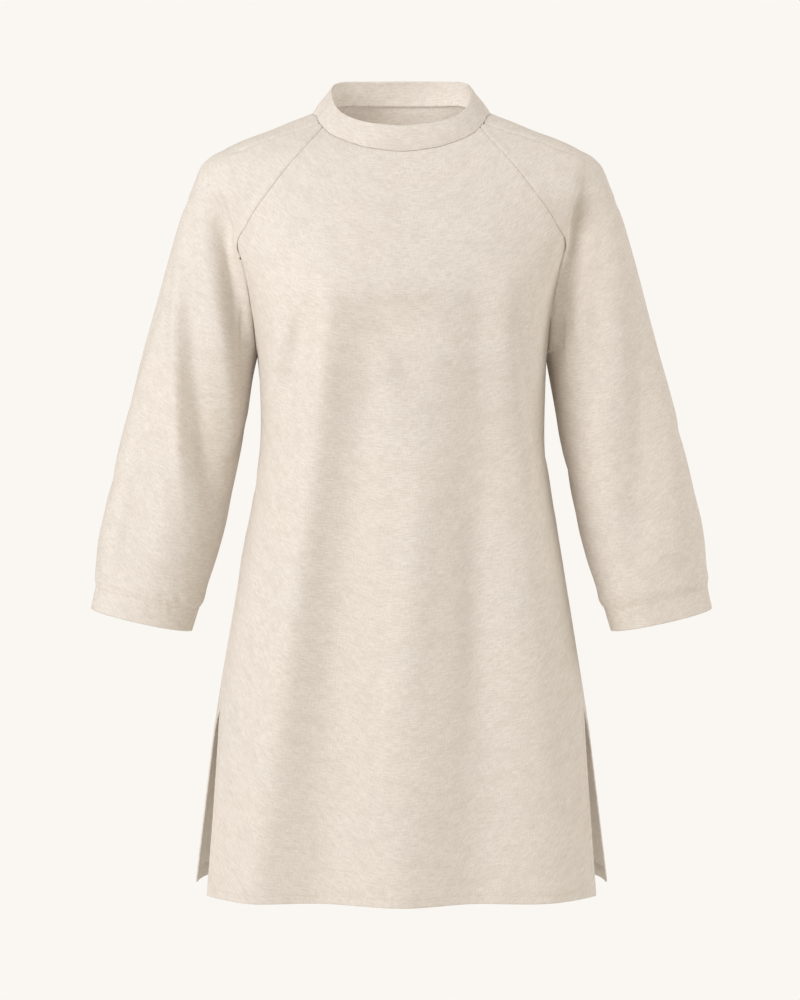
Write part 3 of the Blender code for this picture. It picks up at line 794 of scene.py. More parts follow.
def sleeve_cap(side, loop):
    """The grid of a sleeve above the underarm, between its raglan seams and its first ring."""
    front, back = raglan_seam(FRONT, side), raglan_seam(BACK, side)
    half = len(HALF_SLEEVE) - 1
    heights = np.linspace(neck_seam_height(90), loop[half, 2], SEAM_POINTS)
    ridge = spread_out(round_body(np.full(heights.shape, side * 90.0), heights), ARMHOLE_ROWS)
    ridge[-1] = loop[half]
    to_front = neck_seam(side * (COLLAR_FRONT_ANGLE + (90 - COLLAR_FRONT_ANGLE) * HALF_SLEEVE))
    to_back = neck_seam(side * (COLLAR_BACK_ANGLE + (90 - COLLAR_BACK_ANGLE) * HALF_SLEEVE[::-1]))
    front_half = filled(front, ridge, to_front, loop[:half + 1], ARMHOLE_ROWS, HALF_SLEEVE)
    back_half = filled(ridge, back, to_back, loop[half:], ARMHOLE_ROWS, 1 - HALF_SLEEVE[::-1])
    drawn = np.concatenate((front_half, back_half[:, 1:]), axis=1)
    drop = places(0, 0, SHOULDER_DROP * (1 - ARMHOLE_ROWS))
    inside = ((ridge + (front + back) / 2) / 2 - drop)[:, None]
    cap = outward(inside, drawn - inside, cap_gap)
    cap[0], cap[-1], cap[:, 0], cap[:, -1] = drawn[0], loop, front, back
    return cap


def sleeve_grid(side):
    """The grid of one sleeve, from its front edge over the shoulder to its back edge."""
    width = ARM_AT["outer"](UNDERARM) - ARM_AT["inner"](UNDERARM)
    top = UNDERARM + width / 2 * np.tan(np.radians(SLEEVE_SLANT))
    first = sleeve_loop(side, top)
    first[0] = first[-1] = underarm_point(side)
    turned = CUFF + SLEEVE_HEM
    heights = (*np.linspace(top, turned + STEP, TUBE_ROWS + 1)[1:], turned, turned - BAND_TOP,
               *np.linspace(turned - BAND_MIDDLE, CUFF + BAND_LOW, BAND_ROWS),
               *(CUFF + np.array(NEAR_HEM)[::-1]), CUFF)
    rings = np.stack([sleeve_loop(side, height) for height in heights])
    grid = np.concatenate((sleeve_cap(side, first), rings))
    return grid if side > 0 else grid[:, ::-1]


SLEEVES = {side: sleeve_grid(side) for side in (1, -1)}
for side, grid in SLEEVES.items():
    print("sleeve", side, "grid", grid.shape[:2], "reaches", np.abs(grid[..., 0]).max().round(3))

# %% [markdown]
# ## Directions and distances on a grid
#
# To give cloth its thickness and its creases, each point needs the way straight out of the cloth.
# Along a seam both neighbours take it from the form, so they stay level with each other; in the
# armpit's crease each keeps its own. How far a point is from each edge says where seams roll in.

# %% Normals and distances
PROBE = 0.0003           # distance over which the form's direction is felt
CREASED, SMOOTH = 0.80, 0.95   # how well a face and the form agree in a crease and on smooth cloth


def unit(ways):
    """Directions made one long."""
    return ways / np.linalg.norm(ways, axis=-1, keepdims=True)


def grid_normals(grid):
    """The outward directions of a grid's own faces at its points."""
    return unit(np.cross(np.gradient(grid, axis=1), -np.gradient(grid, axis=0)))


def wall_normals(grid, gaps):
    """Outward directions that neighbours share along a seam, except in the armpit's crease."""
    own = grid_normals(grid)
    shared, agreement = own, np.full(own.shape[:2], -1.0)
    for gap in gaps:
        probes = PROBE * np.eye(3)
        found = unit(np.stack([gap(grid + probe) - gap(grid - probe) for probe in probes], axis=-1))
        closeness = (found * own).sum(axis=-1)
        shared = np.where((closeness > agreement)[..., None], found, shared)
        agreement = np.maximum(agreement, closeness)
    trust = smooth_step((agreement - CREASED) / (SMOOTH - CREASED))[..., None]
    return unit(own + (shared - own) * trust)


def walks(grid):
    """Distances of a grid's points from its top, left, bottom and right edges, along the cloth."""
    down = np.linalg.norm(np.diff(grid, axis=0), axis=2)
    across = np.linalg.norm(np.diff(grid, axis=1), axis=2)
    top = np.concatenate((np.zeros((1, grid.shape[1])), np.cumsum(down, axis=0)))
    left = np.concatenate((np.zeros((grid.shape[0], 1)), np.cumsum(across, axis=1)), axis=1)
    return {"top": top, "left": left, "bottom": top[-1] - top, "right": left[:, -1:] - left}


front_walks = walks(PANELS[FRONT])
print("front: ", round(float(front_walks["top"][-1].max()), 3), "m long and",
      round(float(front_walks["left"][-1, -1]), 3), "m wide at the hem")

# %% [markdown]
# ## Creases placed by hand
#
# Linen hangs in long soft folds but also breaks into short dents wherever it is pulled: from the
# bust to the waist, around the armpit, at the elbow and above the cuff. Each is a bent line with
# its own width on either side, its own height and its own soft ends, drawn as it is seen from one
# ## Creases placed one by one

# %% Table of creases
Crease = namedtuple("Crease", "start_a start_z end_a end_z bow left right rise")
FRONT_VIEW, BACK_VIEW, LEFT_VIEW, RIGHT_VIEW = (0, -1), (0, 1), (1, 0), (-1, 0)
CREASES = {
    FRONT_VIEW: table(Crease, (
        # from the bust to the waist
        (-0.097, -0.190, -0.124, -0.327, -0.001, 0.007, 0.014, -0.0042),
        (-0.096, -0.165, -0.163, -0.375, -0.001, 0.020, 0.011, 0.0059),
        (0.111, -0.190, 0.144, -0.380, 0.005, 0.009, 0.009, -0.0050),
        (-0.026, -0.205, 0.007, -0.316, 0.009, 0.013, 0.024, -0.0049),
        (0.039, -0.149, 0.039, -0.373, -0.012, 0.028, 0.026, -0.0059),
        (-0.112, -0.192, 0.095, -0.186, 0.004, 0.022, 0.036, 0.0042),
        (0.070, -0.081, 0.080, -0.201, -0.012, 0.030, 0.030, -0.0018),
        (0.013, -0.060, 0.008, -0.250, 0.009, 0.030, 0.030, -0.0030),
        # beside the middle folds
        (0.070, -0.330, 0.078, -0.700, 0.003, 0.018, 0.020, -0.0036),
        (0.022, -0.330, 0.006, -0.700, -0.003, 0.016, 0.020, 0.0032),
        # below the raglan seams
        (-0.165, -0.110, -0.113, -0.184, 0.012, 0.030, 0.017, -0.0024),
        (0.154, -0.101, 0.104, -0.168, -0.001, 0.030, 0.016, -0.0028),
        # the front below the waist
        (-0.130, -0.423, -0.175, -0.688, 0.006, 0.017, 0.026, -0.0017),
        (0.166, -0.499, 0.169, -0.747, 0.007, 0.017, 0.010, -0.0019),
        (-0.011, -0.424, -0.023, -0.731, 0.007, 0.007, 0.017, 0.0019),
        (0.046, -0.553, 0.040, -0.773, -0.009, 0.022, 0.027, 0.0025),
        # the wearer's right sleeve
        (-0.227, -0.096, -0.226, -0.448, -0.011, 0.007, 0.009, 0.0059),
        (-0.235, -0.144, -0.193, -0.468, 0.002, 0.012, 0.013, -0.0059),
        (-0.216, -0.102, -0.175, -0.463, 0.012, 0.011, 0.014, 0.0059),
        (-0.207, -0.052, -0.159, -0.285, 0.010, 0.015, 0.005, -0.0125),
        (-0.176, -0.160, -0.150, -0.313, 0.004, 0.010, 0.012, 0.0034),
        (-0.262, -0.290, -0.304, -0.541, -0.003, 0.010, 0.020, -0.0059),
        (-0.257, -0.365, -0.269, -0.496, -0.004, 0.025, 0.015, -0.0037),
        # the wearer's left sleeve
        (0.220, -0.047, 0.217, -0.472, 0.002, 0.030, 0.019, 0.0059),
        (0.244, -0.145, 0.237, -0.490, 0.012, 0.015, 0.018, -0.0057),
        (0.277, -0.243, 0.273, -0.540, 0.012, 0.014, 0.017, 0.0031),
        (0.204, -0.080, 0.209, -0.314, -0.001, 0.014, 0.016, -0.0040),
        (0.202, -0.040, 0.162, -0.280, -0.008, 0.005, 0.015, -0.0140),
        (0.252, -0.394, 0.239, -0.500, 0.004, 0.021, 0.018, -0.0034),
        (0.187, -0.035, 0.182, -0.254, -0.012, 0.030, 0.011, 0.0025),
    )),
    BACK_VIEW: table(Crease, (
        # the back
        (-0.120, -0.150, -0.080, -0.300, 0.008, 0.014, 0.018, -0.0026),
        (0.118, -0.160, 0.070, -0.290, -0.008, 0.018, 0.014, -0.0024),
        (-0.040, -0.100, -0.020, -0.260, 0.006, 0.020, 0.020, -0.0016),
        (0.046, -0.110, 0.020, -0.240, -0.006, 0.020, 0.020, -0.0014),
        (-0.100, -0.320, -0.020, -0.345, -0.008, 0.010, 0.013, -0.0018),
        (0.030, -0.350, 0.110, -0.322, -0.008, 0.010, 0.013, -0.0016),
        (-0.150, -0.420, -0.182, -0.660, 0.004, 0.014, 0.012, -0.0018),
        (0.146, -0.440, 0.176, -0.640, -0.004, 0.012, 0.014, -0.0016),
        # the backs of the sleeves
        (-0.196, -0.140, -0.190, -0.300, 0.006, 0.010, 0.010, -0.0022),
        (-0.235, -0.180, -0.232, -0.300, 0.004, 0.010, 0.010, 0.0016),
        (-0.206, -0.330, -0.272, -0.352, 0.008, 0.008, 0.011, -0.0024),
        (0.234, -0.170, 0.226, -0.310, -0.004, 0.011, 0.011, 0.0018),
        (0.204, -0.340, 0.270, -0.318, 0.008, 0.008, 0.011, -0.0022),
        (0.232, -0.400, 0.262, -0.500, 0.004, 0.012, 0.012, -0.0018),
    )),
    LEFT_VIEW: table(Crease, (
        # the outer sides of the sleeves
        (-0.020, -0.170, 0.010, -0.330, 0.006, 0.010, 0.012, -0.0020),
        (0.020, -0.320, -0.026, -0.390, -0.006, 0.008, 0.011, -0.0022),
        (-0.004, -0.400, 0.008, -0.505, 0.004, 0.011, 0.011, 0.0016),
    )),
    RIGHT_VIEW: table(Crease, (
        (-0.016, -0.180, 0.016, -0.350, -0.006, 0.012, 0.010, -0.0020),
        (0.024, -0.350, -0.024, -0.410, 0.006, 0.008, 0.011, -0.0020),
        (0.006, -0.420, -0.010, -0.505, 0.004, 0.011, 0.011, 0.0014),
    )),
}
deepest = min(row.rise for rows in CREASES.values() for row in rows)
print(sum(map(len, CREASES.values())), "creases, the deepest", deepest, "m")

# %% [markdown]
# ## How a crease lifts the cloth
#
# Across its line a crease is a soft ridge or trough, steeper on its narrow side. It counts only
# where the cloth faces the view that it was drawn in, so it never shows through on the far side.

# %% Sum up the creases
CREASE_ENDS = 0.38       # share of a crease's length over which each end fades
VIEW_EDGE, VIEW_FULL = 0.22, 0.66   # how squarely cloth has to face a view to take its creases


def crease_rise(points, normals):
    """How far the listed creases lift the cloth."""
    rise = np.zeros(points.shape[:2])
    for (to_side, to_back), rows in CREASES.items():
        facing = normals[..., 0] * to_side + normals[..., 1] * to_back
        seen_share = smooth_step((facing - VIEW_EDGE) / (VIEW_FULL - VIEW_EDGE))
        along_view = points[..., 1] if to_side else points[..., 0]
        for row in rows:
            chord = np.array([row.end_a - row.start_a, row.end_z - row.start_z])
            length = np.hypot(*chord)
            from_start = np.stack((along_view - row.start_a, points[..., 2] - row.start_z), axis=-1)
            way = from_start @ chord / length ** 2
            off = (from_start @ np.array([-chord[1], chord[0]])) / length
            off = off - row.bow * 4 * way * (1 - way)
            spread = np.where(off > 0, row.right, row.left)
            ends = smooth_step(way / CREASE_ENDS) * smooth_step((1 - way) / CREASE_ENDS)
            rise += row.rise * ends * seen_share * bell(off, spread)
    return rise


low_front, forward = np.array([[[0.074, -0.117, -0.500]]]), np.array([[[0.0, -1.0, 0.0]]])
print("the front low down is lifted by", crease_rise(low_front, forward).round(4).item(), "m")

# %% [markdown]
# ## What sewing does to cloth
#
# A seam pulls its two edges in, and the turned-under allowances beside it lift the cloth a little.
# A row of topstitching presses a fine groove, and as thread and cloth shrink differently the hem
# puckers in small uneven waves. A sleeve is slightly gathered above its hem, so it swells there.

# %% Seam rolls, hem grooves and puckers
ROLL, ROLL_REACH = 0.0007, 0.0011        # how deep and how far a seam edge rolls in
NECK_ROLL = 0.0001                       # the neck seam is flatter
ALLOWANCE, ALLOWANCE_AT, ALLOWANCE_REACH = 0.00035, 0.0050, 0.0032
GROOVE, GROOVE_REACH = 0.00028, 0.0009
SWELL, SWELL_LENGTH, SWELL_PHASE = 0.35, 0.083, 1.1   # how the waves of a hem grow and shrink
Ripple = namedtuple("Ripple", "length phase strength")
RIPPLES = table(Ripple, (
    (0.0093, 0.4, 0.40),
    (0.0131, 1.9, 0.35),
    (0.0067, 3.1, 0.22),
    (0.0297, 5.2, 0.30),
))


def seam_rise(distance, roll=ROLL):
    """The roll and the lifted allowance beside a seam, by distance from it."""
    lift = ALLOWANCE * bell(distance - ALLOWANCE_AT, ALLOWANCE_REACH)
    return lift - roll * bell(distance, ROLL_REACH)


def groove(distance):
    """The groove that a row of stitches presses, by distance from it."""
    return -GROOVE * bell(distance, GROOVE_REACH)


def puckers(walked, shift=0.0):
    """Small uneven waves along a hem."""
    waves = [ripple.strength * np.sin(2 * np.pi * (walked + shift) / ripple.length + ripple.phase)
             for ripple in RIPPLES]
    swell = 1 - SWELL + SWELL * np.sin(2 * np.pi * (walked + shift) / SWELL_LENGTH + SWELL_PHASE)
    return swell * sum(waves)


print("a seam dips", round(float(seam_rise(0.0)) * 1000, 2), "mm at its edge")

# %% [markdown]
# ## From a grid to a wall of cloth
#
# The outer face of a piece starts as a bmesh grid whose points are moved into place. Extruding all
# its faces makes the inner face and the rim between them in one go; the new points are then drawn
# in by one layer of cloth, or two where a hem is turned. A UV map in metres follows the threads.

# %% Make a piece of cloth
WELD = 0.00001           # the first and the last column of a ring are this close
ROUND = 0.0011           # free edges are rounded within this distance
ROUND_SHARE = 0.9        # and this share of the wall is gone right at the edge
Cloth = namedtuple("Cloth", "piece surface normals")


def drawn_back(grid, edges):
    """The grid with the named edges moved in by half a seam gap, square to the seam."""
    grid = grid.copy()
    lines = {
        "top": (np.s_[0], np.s_[1]),
        "left": (np.s_[:, 0], np.s_[:, 1]),
        "bottom": (np.s_[-1], np.s_[-2]),
        "right": (np.s_[:, -1], np.s_[:, -2]),
    }
    for edge in edges:
        line, neighbour = (grid[place] for place in lines[edge])
        along = unit(np.gradient(line, axis=0))
        inward = neighbour - line
        inward = unit(inward - (inward * along).sum(axis=1, keepdims=True) * along)
        grid[lines[edge][0]] = line + inward * SEAM_GAP / 2
    return grid


def quarter_round(distance, reach):
    """1 at a free edge and 0 past its reach, along a quarter of a circle."""
    short = np.clip(1 - distance / reach, 0, 1)
    return 1 - np.sqrt(np.clip(1 - short ** 2, 0, 1))


def thread_map(grid, edge):
    """UVs in metres: across from the middle column and down from the top."""
    middle = grid.shape[1] // 2
    return np.stack((edge["left"] - edge["left"][:, middle:middle + 1], -edge["top"]), axis=-1)


def make_cloth(name, outer, inner, threads, closed=False):
    """A wall of cloth between two grids of the same size, with a UV map in metres."""
    rows, columns = outer.shape[:2]
    shape = bmesh.new()
    row_mark, column_mark = (shape.verts.layers.int.new(word) for word in ("row", "column"))
    weave = shape.loops.layers.uv.new("threads")
    bmesh.ops.create_grid(shape, x_segments=columns - 1, y_segments=rows - 1, size=1)
    for vertex in shape.verts:
        vertex[column_mark] = round((vertex.co.x + 1) / 2 * (columns - 1))
        vertex[row_mark] = round((1 - vertex.co.y) / 2 * (rows - 1))
    for face in shape.faces:
        face.smooth = True
        for loop in face.loops:
            loop[weave].uv = threads[loop.vert[row_mark], loop.vert[column_mark]]
    for vertex in shape.verts:
        vertex.co = outer[vertex[row_mark], vertex[column_mark]]
    if closed:
        bmesh.ops.remove_doubles(shape, verts=shape.verts, dist=WELD)
    made = bmesh.ops.extrude_face_region(shape, geom=shape.faces[:], use_keep_orig=True)
    for part in made["geom"]:
        if isinstance(part, bmesh.types.BMVert):
            part.co = inner[part[row_mark], part[column_mark]]
    bmesh.ops.recalc_face_normals(shape, faces=shape.faces)
    piece = put_mesh(name, shape)
    print(name, "has", len(piece.data.polygons), "faces")
    return piece


def sewn_cloth(name, grid, edge, normals, rise, thickness, from_free_edge):
    """A piece whose upper and side edges are sewn, with its relief and its wall's thickness."""
    cut = thickness / 2 * ROUND_SHARE * quarter_round(from_free_edge, ROUND)
    base = drawn_back(grid, ("top", "left", "right"))
    outer = base + normals * (rise - cut)[..., None]
    inner = base + normals * (rise - thickness + cut)[..., None]
    return Cloth(make_cloth(name, outer, inner, thread_map(grid, edge)), outer, normals)


# %% [markdown]
# ## Linen
#
# Natural linen is spun from flax fibres of slightly different shades, so the cloth is a pale
# oatmeal with threads that are greyer or lighter along their length. The yarn is uneven: short
# thick places, slubs, run along the rows. The finish is matt, with a faint sheen at grazing angles.
# All of it follows the piece's own UV map, so the threads bend with the cloth.

# %% Linen material
LINEN = (0.742, 0.688, 0.628, 1.0)
LINEN_DARK = (0.600, 0.540, 0.475, 1.0)
LINEN_LIGHT = (0.850, 0.812, 0.762, 1.0)
LINEN_WARM = (0.752, 0.684, 0.612, 1.0)

linen = Recipe(bpy.data.materials.new("linen"))
threads = linen.add("ShaderNodeUVMap", {"uv_map": "threads"}).outputs["UV"]


def noise(across, along, detail=2.0, roughness=0.5, shift=0.0):
    """Noise along the threads: its features per metre across and along the cloth."""
    placed = linen.add("ShaderNodeMapping", None, {
        "Vector": threads, "Location": (shift, shift, 0), "Scale": (across, along, 1),
    })
    node = linen.add("ShaderNodeTexNoise", {"noise_dimensions": "2D"}, {
        "Vector": placed.outputs[0], "Scale": 1.0, "Detail": detail, "Roughness": roughness,
    })
    return Value(linen, node.outputs[0])


weft = noise(110, 780)
warp = noise(900, 150, shift=7.0)
slubs = noise(60, 560, shift=13.0)
flecks = noise(260, 620, detail=3.0, shift=3.0)
clouds = noise(38, 70, detail=4.0, roughness=0.6, shift=21.0)
patches = noise(7, 9, detail=3.0, shift=31.0)
streak = weft * 0.58 + warp * 0.42
tone = linen.mix(patches.between(0.35, 0.65) * 0.5, LINEN, LINEN_WARM)
tone = linen.mix((1 - streak.between(0.36, 0.52)) * 0.42, tone, LINEN_DARK)
tone = linen.mix(streak.between(0.50, 0.66) * 0.40, tone, LINEN_LIGHT)
tone = linen.mix((1 - clouds.between(0.36, 0.56)) * 0.20, tone, LINEN_DARK)
tone = linen.mix(slubs.between(0.62, 0.76) * 0.25, tone, LINEN_LIGHT)
tone = linen.mix(flecks.between(0.62, 0.74) * 0.26, tone, LINEN_DARK)
yarn = streak + slubs * 0.4 + noise(1500, 1500, detail=1.0, shift=17.0) * 0.35
bump = linen.add("ShaderNodeBump", None, {"Strength": 0.35, "Distance": 0.0005, "Height": yarn})
cloth_shader = linen.add("ShaderNodeBsdfPrincipled", None, {
    "Base Color": tone, "Roughness": 0.88, "Sheen Weight": 0.06, "Sheen Roughness": 0.5,
    "Specular IOR Level": 0.25, "Normal": bump.outputs[0],
})
linen.finish(cloth_shader)
print("linen has", len(linen.tree.nodes), "nodes")

# %% [markdown]
# ## The front and the back
#
# Each panel takes the relief of its creases, its seams and its hem, all as a height above the form
# at each point. The relief fades out into the armpit's crease, where sleeve and body touch. The hem
# and the edges of the slits are turned under, so the wall is twice as thick there.

# %% Make the panels
SLIT_HEM = 0.008         # depth of the turned edge of a slit
SLIT_FADE = 0.004        # height over which the side seam goes over into the slit
TURN_FADE = 0.003        # height over which the slit's edge is turned
INSET = 0.001            # the stitches are this far inside a turned edge
PUCKER = 0.00042         # how far a hem's waves rise and fall
SLIT_SHARE = 0.7         # share of it on the edges of the slits
PUCKER_AT = 0.8          # share of a hem's depth where they are highest
HEM_WAVES, SLIT_WAVES = 0.009, 0.006     # how far from there they reach
HEM_SHIFT, SLIT_SHIFT = 0.3, 0.1         # how far they are moved along, so that no two hems match
ARMPIT_TOP, ARMPIT_FADE = -0.085, 0.030  # where the armpit's crease starts, and how softly
PANEL_ARMPIT, SLEEVE_ARMPIT = 0.014, 0.012   # how far beside it the relief is faded out


def near_armpit(grid, from_seam, reach):
    """1 in the armpit's crease and 0 elsewhere."""
    height = grid[..., 2]
    below_top = smooth_step((ARMPIT_TOP - height) / ARMPIT_FADE)
    above_end = smooth_step((height - UNDERARM + ARMPIT_FADE) / ARMPIT_FADE)
    return below_top * above_end * bell(from_seam, reach)


def panel_relief(grid, normals, edge, side, face):
    """The height of a panel's cloth above the form."""
    sewn = smooth_step((grid[..., 2] - SLIT_TOP) / SLIT_FADE)
    rise = crease_rise(grid, normals) * (1 - near_armpit(grid, side, PANEL_ARMPIT))
    rise += seam_rise(side) * sewn + seam_rise(edge["top"], NECK_ROLL)
    hem = BODY_HEM[face]
    rise += groove(edge["bottom"] - hem + INSET)
    near_hem = bell(edge["bottom"] - hem * PUCKER_AT, HEM_WAVES)
    rise += PUCKER * near_hem * puckers(edge["left"], shift=HEM_SHIFT * face)
    rise += groove(side - SLIT_HEM + INSET) * (1 - sewn)
    near_slit = bell(side - SLIT_HEM * PUCKER_AT, SLIT_WAVES) * (1 - sewn)
    rise += PUCKER * SLIT_SHARE * near_slit * puckers(edge["top"], shift=SLIT_SHIFT * face)
    return rise


def panel_layers(grid, edge, side, face):
    """How many layers of cloth each point of a panel has, from one to two."""
    below_slit = smooth_step((SLIT_TOP - grid[..., 2]) / TURN_FADE)
    slit = smooth_step((SLIT_HEM - side) / STEP + 0.5) * below_slit
    hem = smooth_step((BODY_HEM[face] - edge["bottom"]) / STEP + 0.5)
    return 1 + np.maximum(slit, hem)


def make_panel(name, face):
    """The front or the back as finished cloth."""
    grid = PANELS[face]
    edge = walks(grid)
    side = np.minimum(edge["left"], edge["right"])
    normals = wall_normals(grid, (form_gap,))
    rise = panel_relief(grid, normals, edge, side, face)
    free = np.minimum(edge["bottom"], side + 1.0 * (grid[..., 2] > SLIT_TOP))
    return sewn_cloth(name, grid, edge, normals, rise,
                      CLOTH * panel_layers(grid, edge, side, face), free)


cloths = {"front": make_panel("tunic_front", FRONT), "back": make_panel("tunic_back", BACK)}

# %% [markdown]
# ## The sleeves
#
# A dart shapes each raglan sleeve over the shoulder: a short seam that starts at the neck just in
# front of the shoulder point and fades out at the top of the arm. It is a fine groove with a soft
# ridge beside it. Above the hem the sleeve is a little fuller than the band, and gathers into it.

# %% Make the sleeves
Dart = namedtuple("Dart", "x y z")
DART = table(Dart, (
    (0.080, -0.022, -0.0110),
    (0.087, -0.026, -0.0145),
    (0.112, -0.031, -0.0237),
    (0.140, -0.033, -0.0330),
    (0.1655, -0.0345, -0.0430),
    (0.191, -0.029, -0.0515),
))
DART_DEPTH, DART_REACH = 0.0016, 0.0026
DART_RIDGE, DART_RIDGE_AT, DART_RIDGE_REACH = 0.0007, 0.0058, 0.0040
DART_FADE, DART_FADE_SPAN = 0.80, 0.20   # shares of its length, where it starts to fade and how far
SECOND_GROOVE = 0.0025   # the band's lower groove is this far below the upper one
BLOUSE = 0.0016          # how far a sleeve swells above its hem
BLOUSE_AT, BLOUSE_REACH, BLOUSE_START = 0.011, 0.010, 0.006
CUFF_PUCKER, CUFF_WAVES = 0.0006, 0.009
BLOUSE_STRETCH, CUFF_STRETCH = 0.55, 0.8     # the waves are longer here than along a panel's hem
BLOUSE_SHIFT, CUFF_SHIFT = 0.4, 0.2


def dart_rise(grid, side):
    """The groove and the soft ridge of the shoulder dart."""
    line = np.array(DART) * (side, 1, 1)
    nearest = np.full(grid.shape[:2], np.inf)
    way_at = np.zeros(grid.shape[:2])
    for index, (start, end) in enumerate(zip(line, line[1:])):
        step = end - start
        way = np.clip((grid - start) @ step / (step @ step), 0, 1)
        away = (grid - start - way[..., None] * step)[..., :2]
        distance = np.linalg.norm(away, axis=-1) * np.sign(away[..., 1])
        closer = np.abs(distance) < np.abs(nearest)
        nearest = np.where(closer, distance, nearest)
        way_at = np.where(closer, (index + way) / (len(line) - 1), way_at)
    fading = 1 - smooth_step((way_at - DART_FADE) / DART_FADE_SPAN)
    ridge = DART_RIDGE * bell(nearest + DART_RIDGE_AT, DART_RIDGE_REACH)
    return fading * (ridge - DART_DEPTH * bell(nearest, DART_REACH))


def sleeve_relief(grid, normals, edge, side):
    """The height of a sleeve's cloth above the form."""
    seam = np.minimum(edge["left"], edge["right"])
    rise = crease_rise(grid, normals) * (1 - near_armpit(grid, seam, SLEEVE_ARMPIT))
    rise += seam_rise(seam) + seam_rise(edge["top"], NECK_ROLL) + dart_rise(grid, side)
    above_hem = edge["bottom"] - SLEEVE_HEM
    rise += groove(above_hem) + groove(above_hem + SECOND_GROOVE)
    swelling = bell(above_hem - BLOUSE_AT, BLOUSE_REACH) * smooth_step(above_hem / BLOUSE_START)
    waves = puckers(edge["left"] * BLOUSE_STRETCH, shift=BLOUSE_SHIFT * side)
    rise += BLOUSE * swelling * (1 + 0.5 * waves)
    waves = puckers(edge["left"] * CUFF_STRETCH, shift=CUFF_SHIFT * side)
    rise += CUFF_PUCKER * bell(above_hem, CUFF_WAVES) * waves
    return rise


def make_sleeve(name, side):
    """One sleeve as finished cloth."""
    grid = SLEEVES[side]
    edge = walks(grid)
    normals = wall_normals(grid, (form_gap, sleeve_gap))
    rise = sleeve_relief(grid, normals, edge, side)
    thickness = CLOTH * (1 + smooth_step((SLEEVE_HEM - edge["bottom"]) / STEP + 0.5))
    return sewn_cloth(name, grid, edge, normals, rise, thickness, edge["bottom"])


cloths["sleeve_left"] = make_sleeve("tunic_sleeve_left", 1)
cloths["sleeve_right"] = make_sleeve("tunic_sleeve_right", -1)

# %% [markdown]
# ## The stand collar
#
# The collar is a band of two layers, sewn together along their upper edges and turned, so both roll
# over into the fine seam between them. Both stand on the neck seam. Being stiffened by the seam
# allowances inside, the band is smooth, with only slight buckles where it bends round the neck.

# %% Make the collar
COLLAR_ROWS, COLLAR_COLUMNS = 22, 300
COLLAR_WALK = 0.026      # how high the band is on average, for the spacing of its rows
NEAR_ROLL, NEAR_FOOT = (0.0002, 0.0005, 0.0009, 0.0014), (0.0006, 0.0014)
COLLAR_ROUND, COLLAR_ROUND_SHARE = 0.0013, 0.92   # how far the upper edge rolls over, and how much
COLLAR_TUCK = 0.0018     # how far the inner layer reaches below the neck seam, inside it
Buckle = namedtuple("Buckle", "angle width rise")
BUCKLES = table(Buckle, (
    (-52, 9, 0.0006), (-33, 7, -0.0005), (-12, 10, 0.0004), (14, 8, -0.0005),
    (38, 9, 0.0005), (58, 7, -0.0006), (96, 12, 0.0006), (140, 16, -0.0006),
    (188, 14, 0.0005), (226, 15, -0.0005), (268, 12, 0.0006),
))


def collar_grid():
    """The collar's outer face, all round, from its top row down to the neck seam."""
    angles = -COLLAR_FRONT_ANGLE + np.linspace(0, 360, COLLAR_COLUMNS + 1)
    turn = np.radians(angles)
    across, along = np.sin(turn), -np.cos(turn)
    size = COLLAR_TOP
    depth = np.where(along < 0, size.side - size.front, size.back - size.side)
    power = size.roundness
    share = np.abs(across / size.half_width) ** power + np.abs(along / depth) ** power
    radius = share ** (-1 / power)
    top = places(across * radius, size.side + along * radius, neck_top_height(off_front(angles)))
    seam = neck_seam(angles)
    down = crowded(COLLAR_WALK, COLLAR_ROWS, start=NEAR_ROLL, end=NEAR_FOOT)[:, None, None]
    bulge = 4 * down * (1 - down) * COLLAR_BULGE * places(across, along, 0)
    buckle = sum(row.rise * bell(angles - row.angle, row.width) for row in BUCKLES)
    bulge = bulge + 4 * down * (1 - down) * (buckle[:, None] * places(across, along, 0))
    grid = top * (1 - down) + seam * down + bulge
    grid[:, -1] = grid[:, 0]
    return grid


def closed_normals(grid):
    """The outward directions of a ring of cloth."""
    normals = grid_normals(grid)
    normals[:, 0] = normals[:, -1] = unit(normals[:, 0] + normals[:, -1])
    return normals


collar = collar_grid()
collar_normals = closed_normals(collar)
collar_walks = walks(collar)
rolled = CLOTH * COLLAR_ROUND_SHARE * quarter_round(collar_walks["top"], COLLAR_ROUND)[..., None]
foot = NECK_ROLL * bell(collar_walks["bottom"], ROLL_REACH)[..., None]
collar = drawn_back(collar, ("bottom",))
tucked = collar.copy()
tucked[-1] += COLLAR_TUCK * unit(collar[-1] - collar[-2])
behind = CLOTH + SEAM_GAP
for node, band, face_at, back_at in (
        ("collar_outer", collar, -rolled - foot, -CLOTH),
        ("collar_inner", tucked, -behind, -behind - CLOTH + rolled)):
    surface = band + collar_normals * face_at
    piece = make_cloth("tunic_" + node, surface, band + collar_normals * back_at,
                       thread_map(collar, collar_walks), closed=True)
    cloths[node] = Cloth(piece, surface, collar_normals)

# %% [markdown]
# ## Topstitching
#
# The hems are held by a row of real stitches, two and a half millimetres long with a short gap
# between, sunk slightly into the cloth. Hundreds of them are needed, so each is only a small
# six-sided bead. They follow lines at a set distance from the edge of the finished cloth.

# %% Sew the topstitches
STITCH, STITCH_PITCH = 0.0025, 0.0032
THREAD = 0.00042         # thickness of the thread
THREAD_LIFT = 0.00005    # how far its middle lies above the cloth
BEAD_SIDES, BEAD_RINGS = 6, 4
HEM_TRIM, SLIT_TRIM = 4, 8   # points at the ends of a line that get no stitches

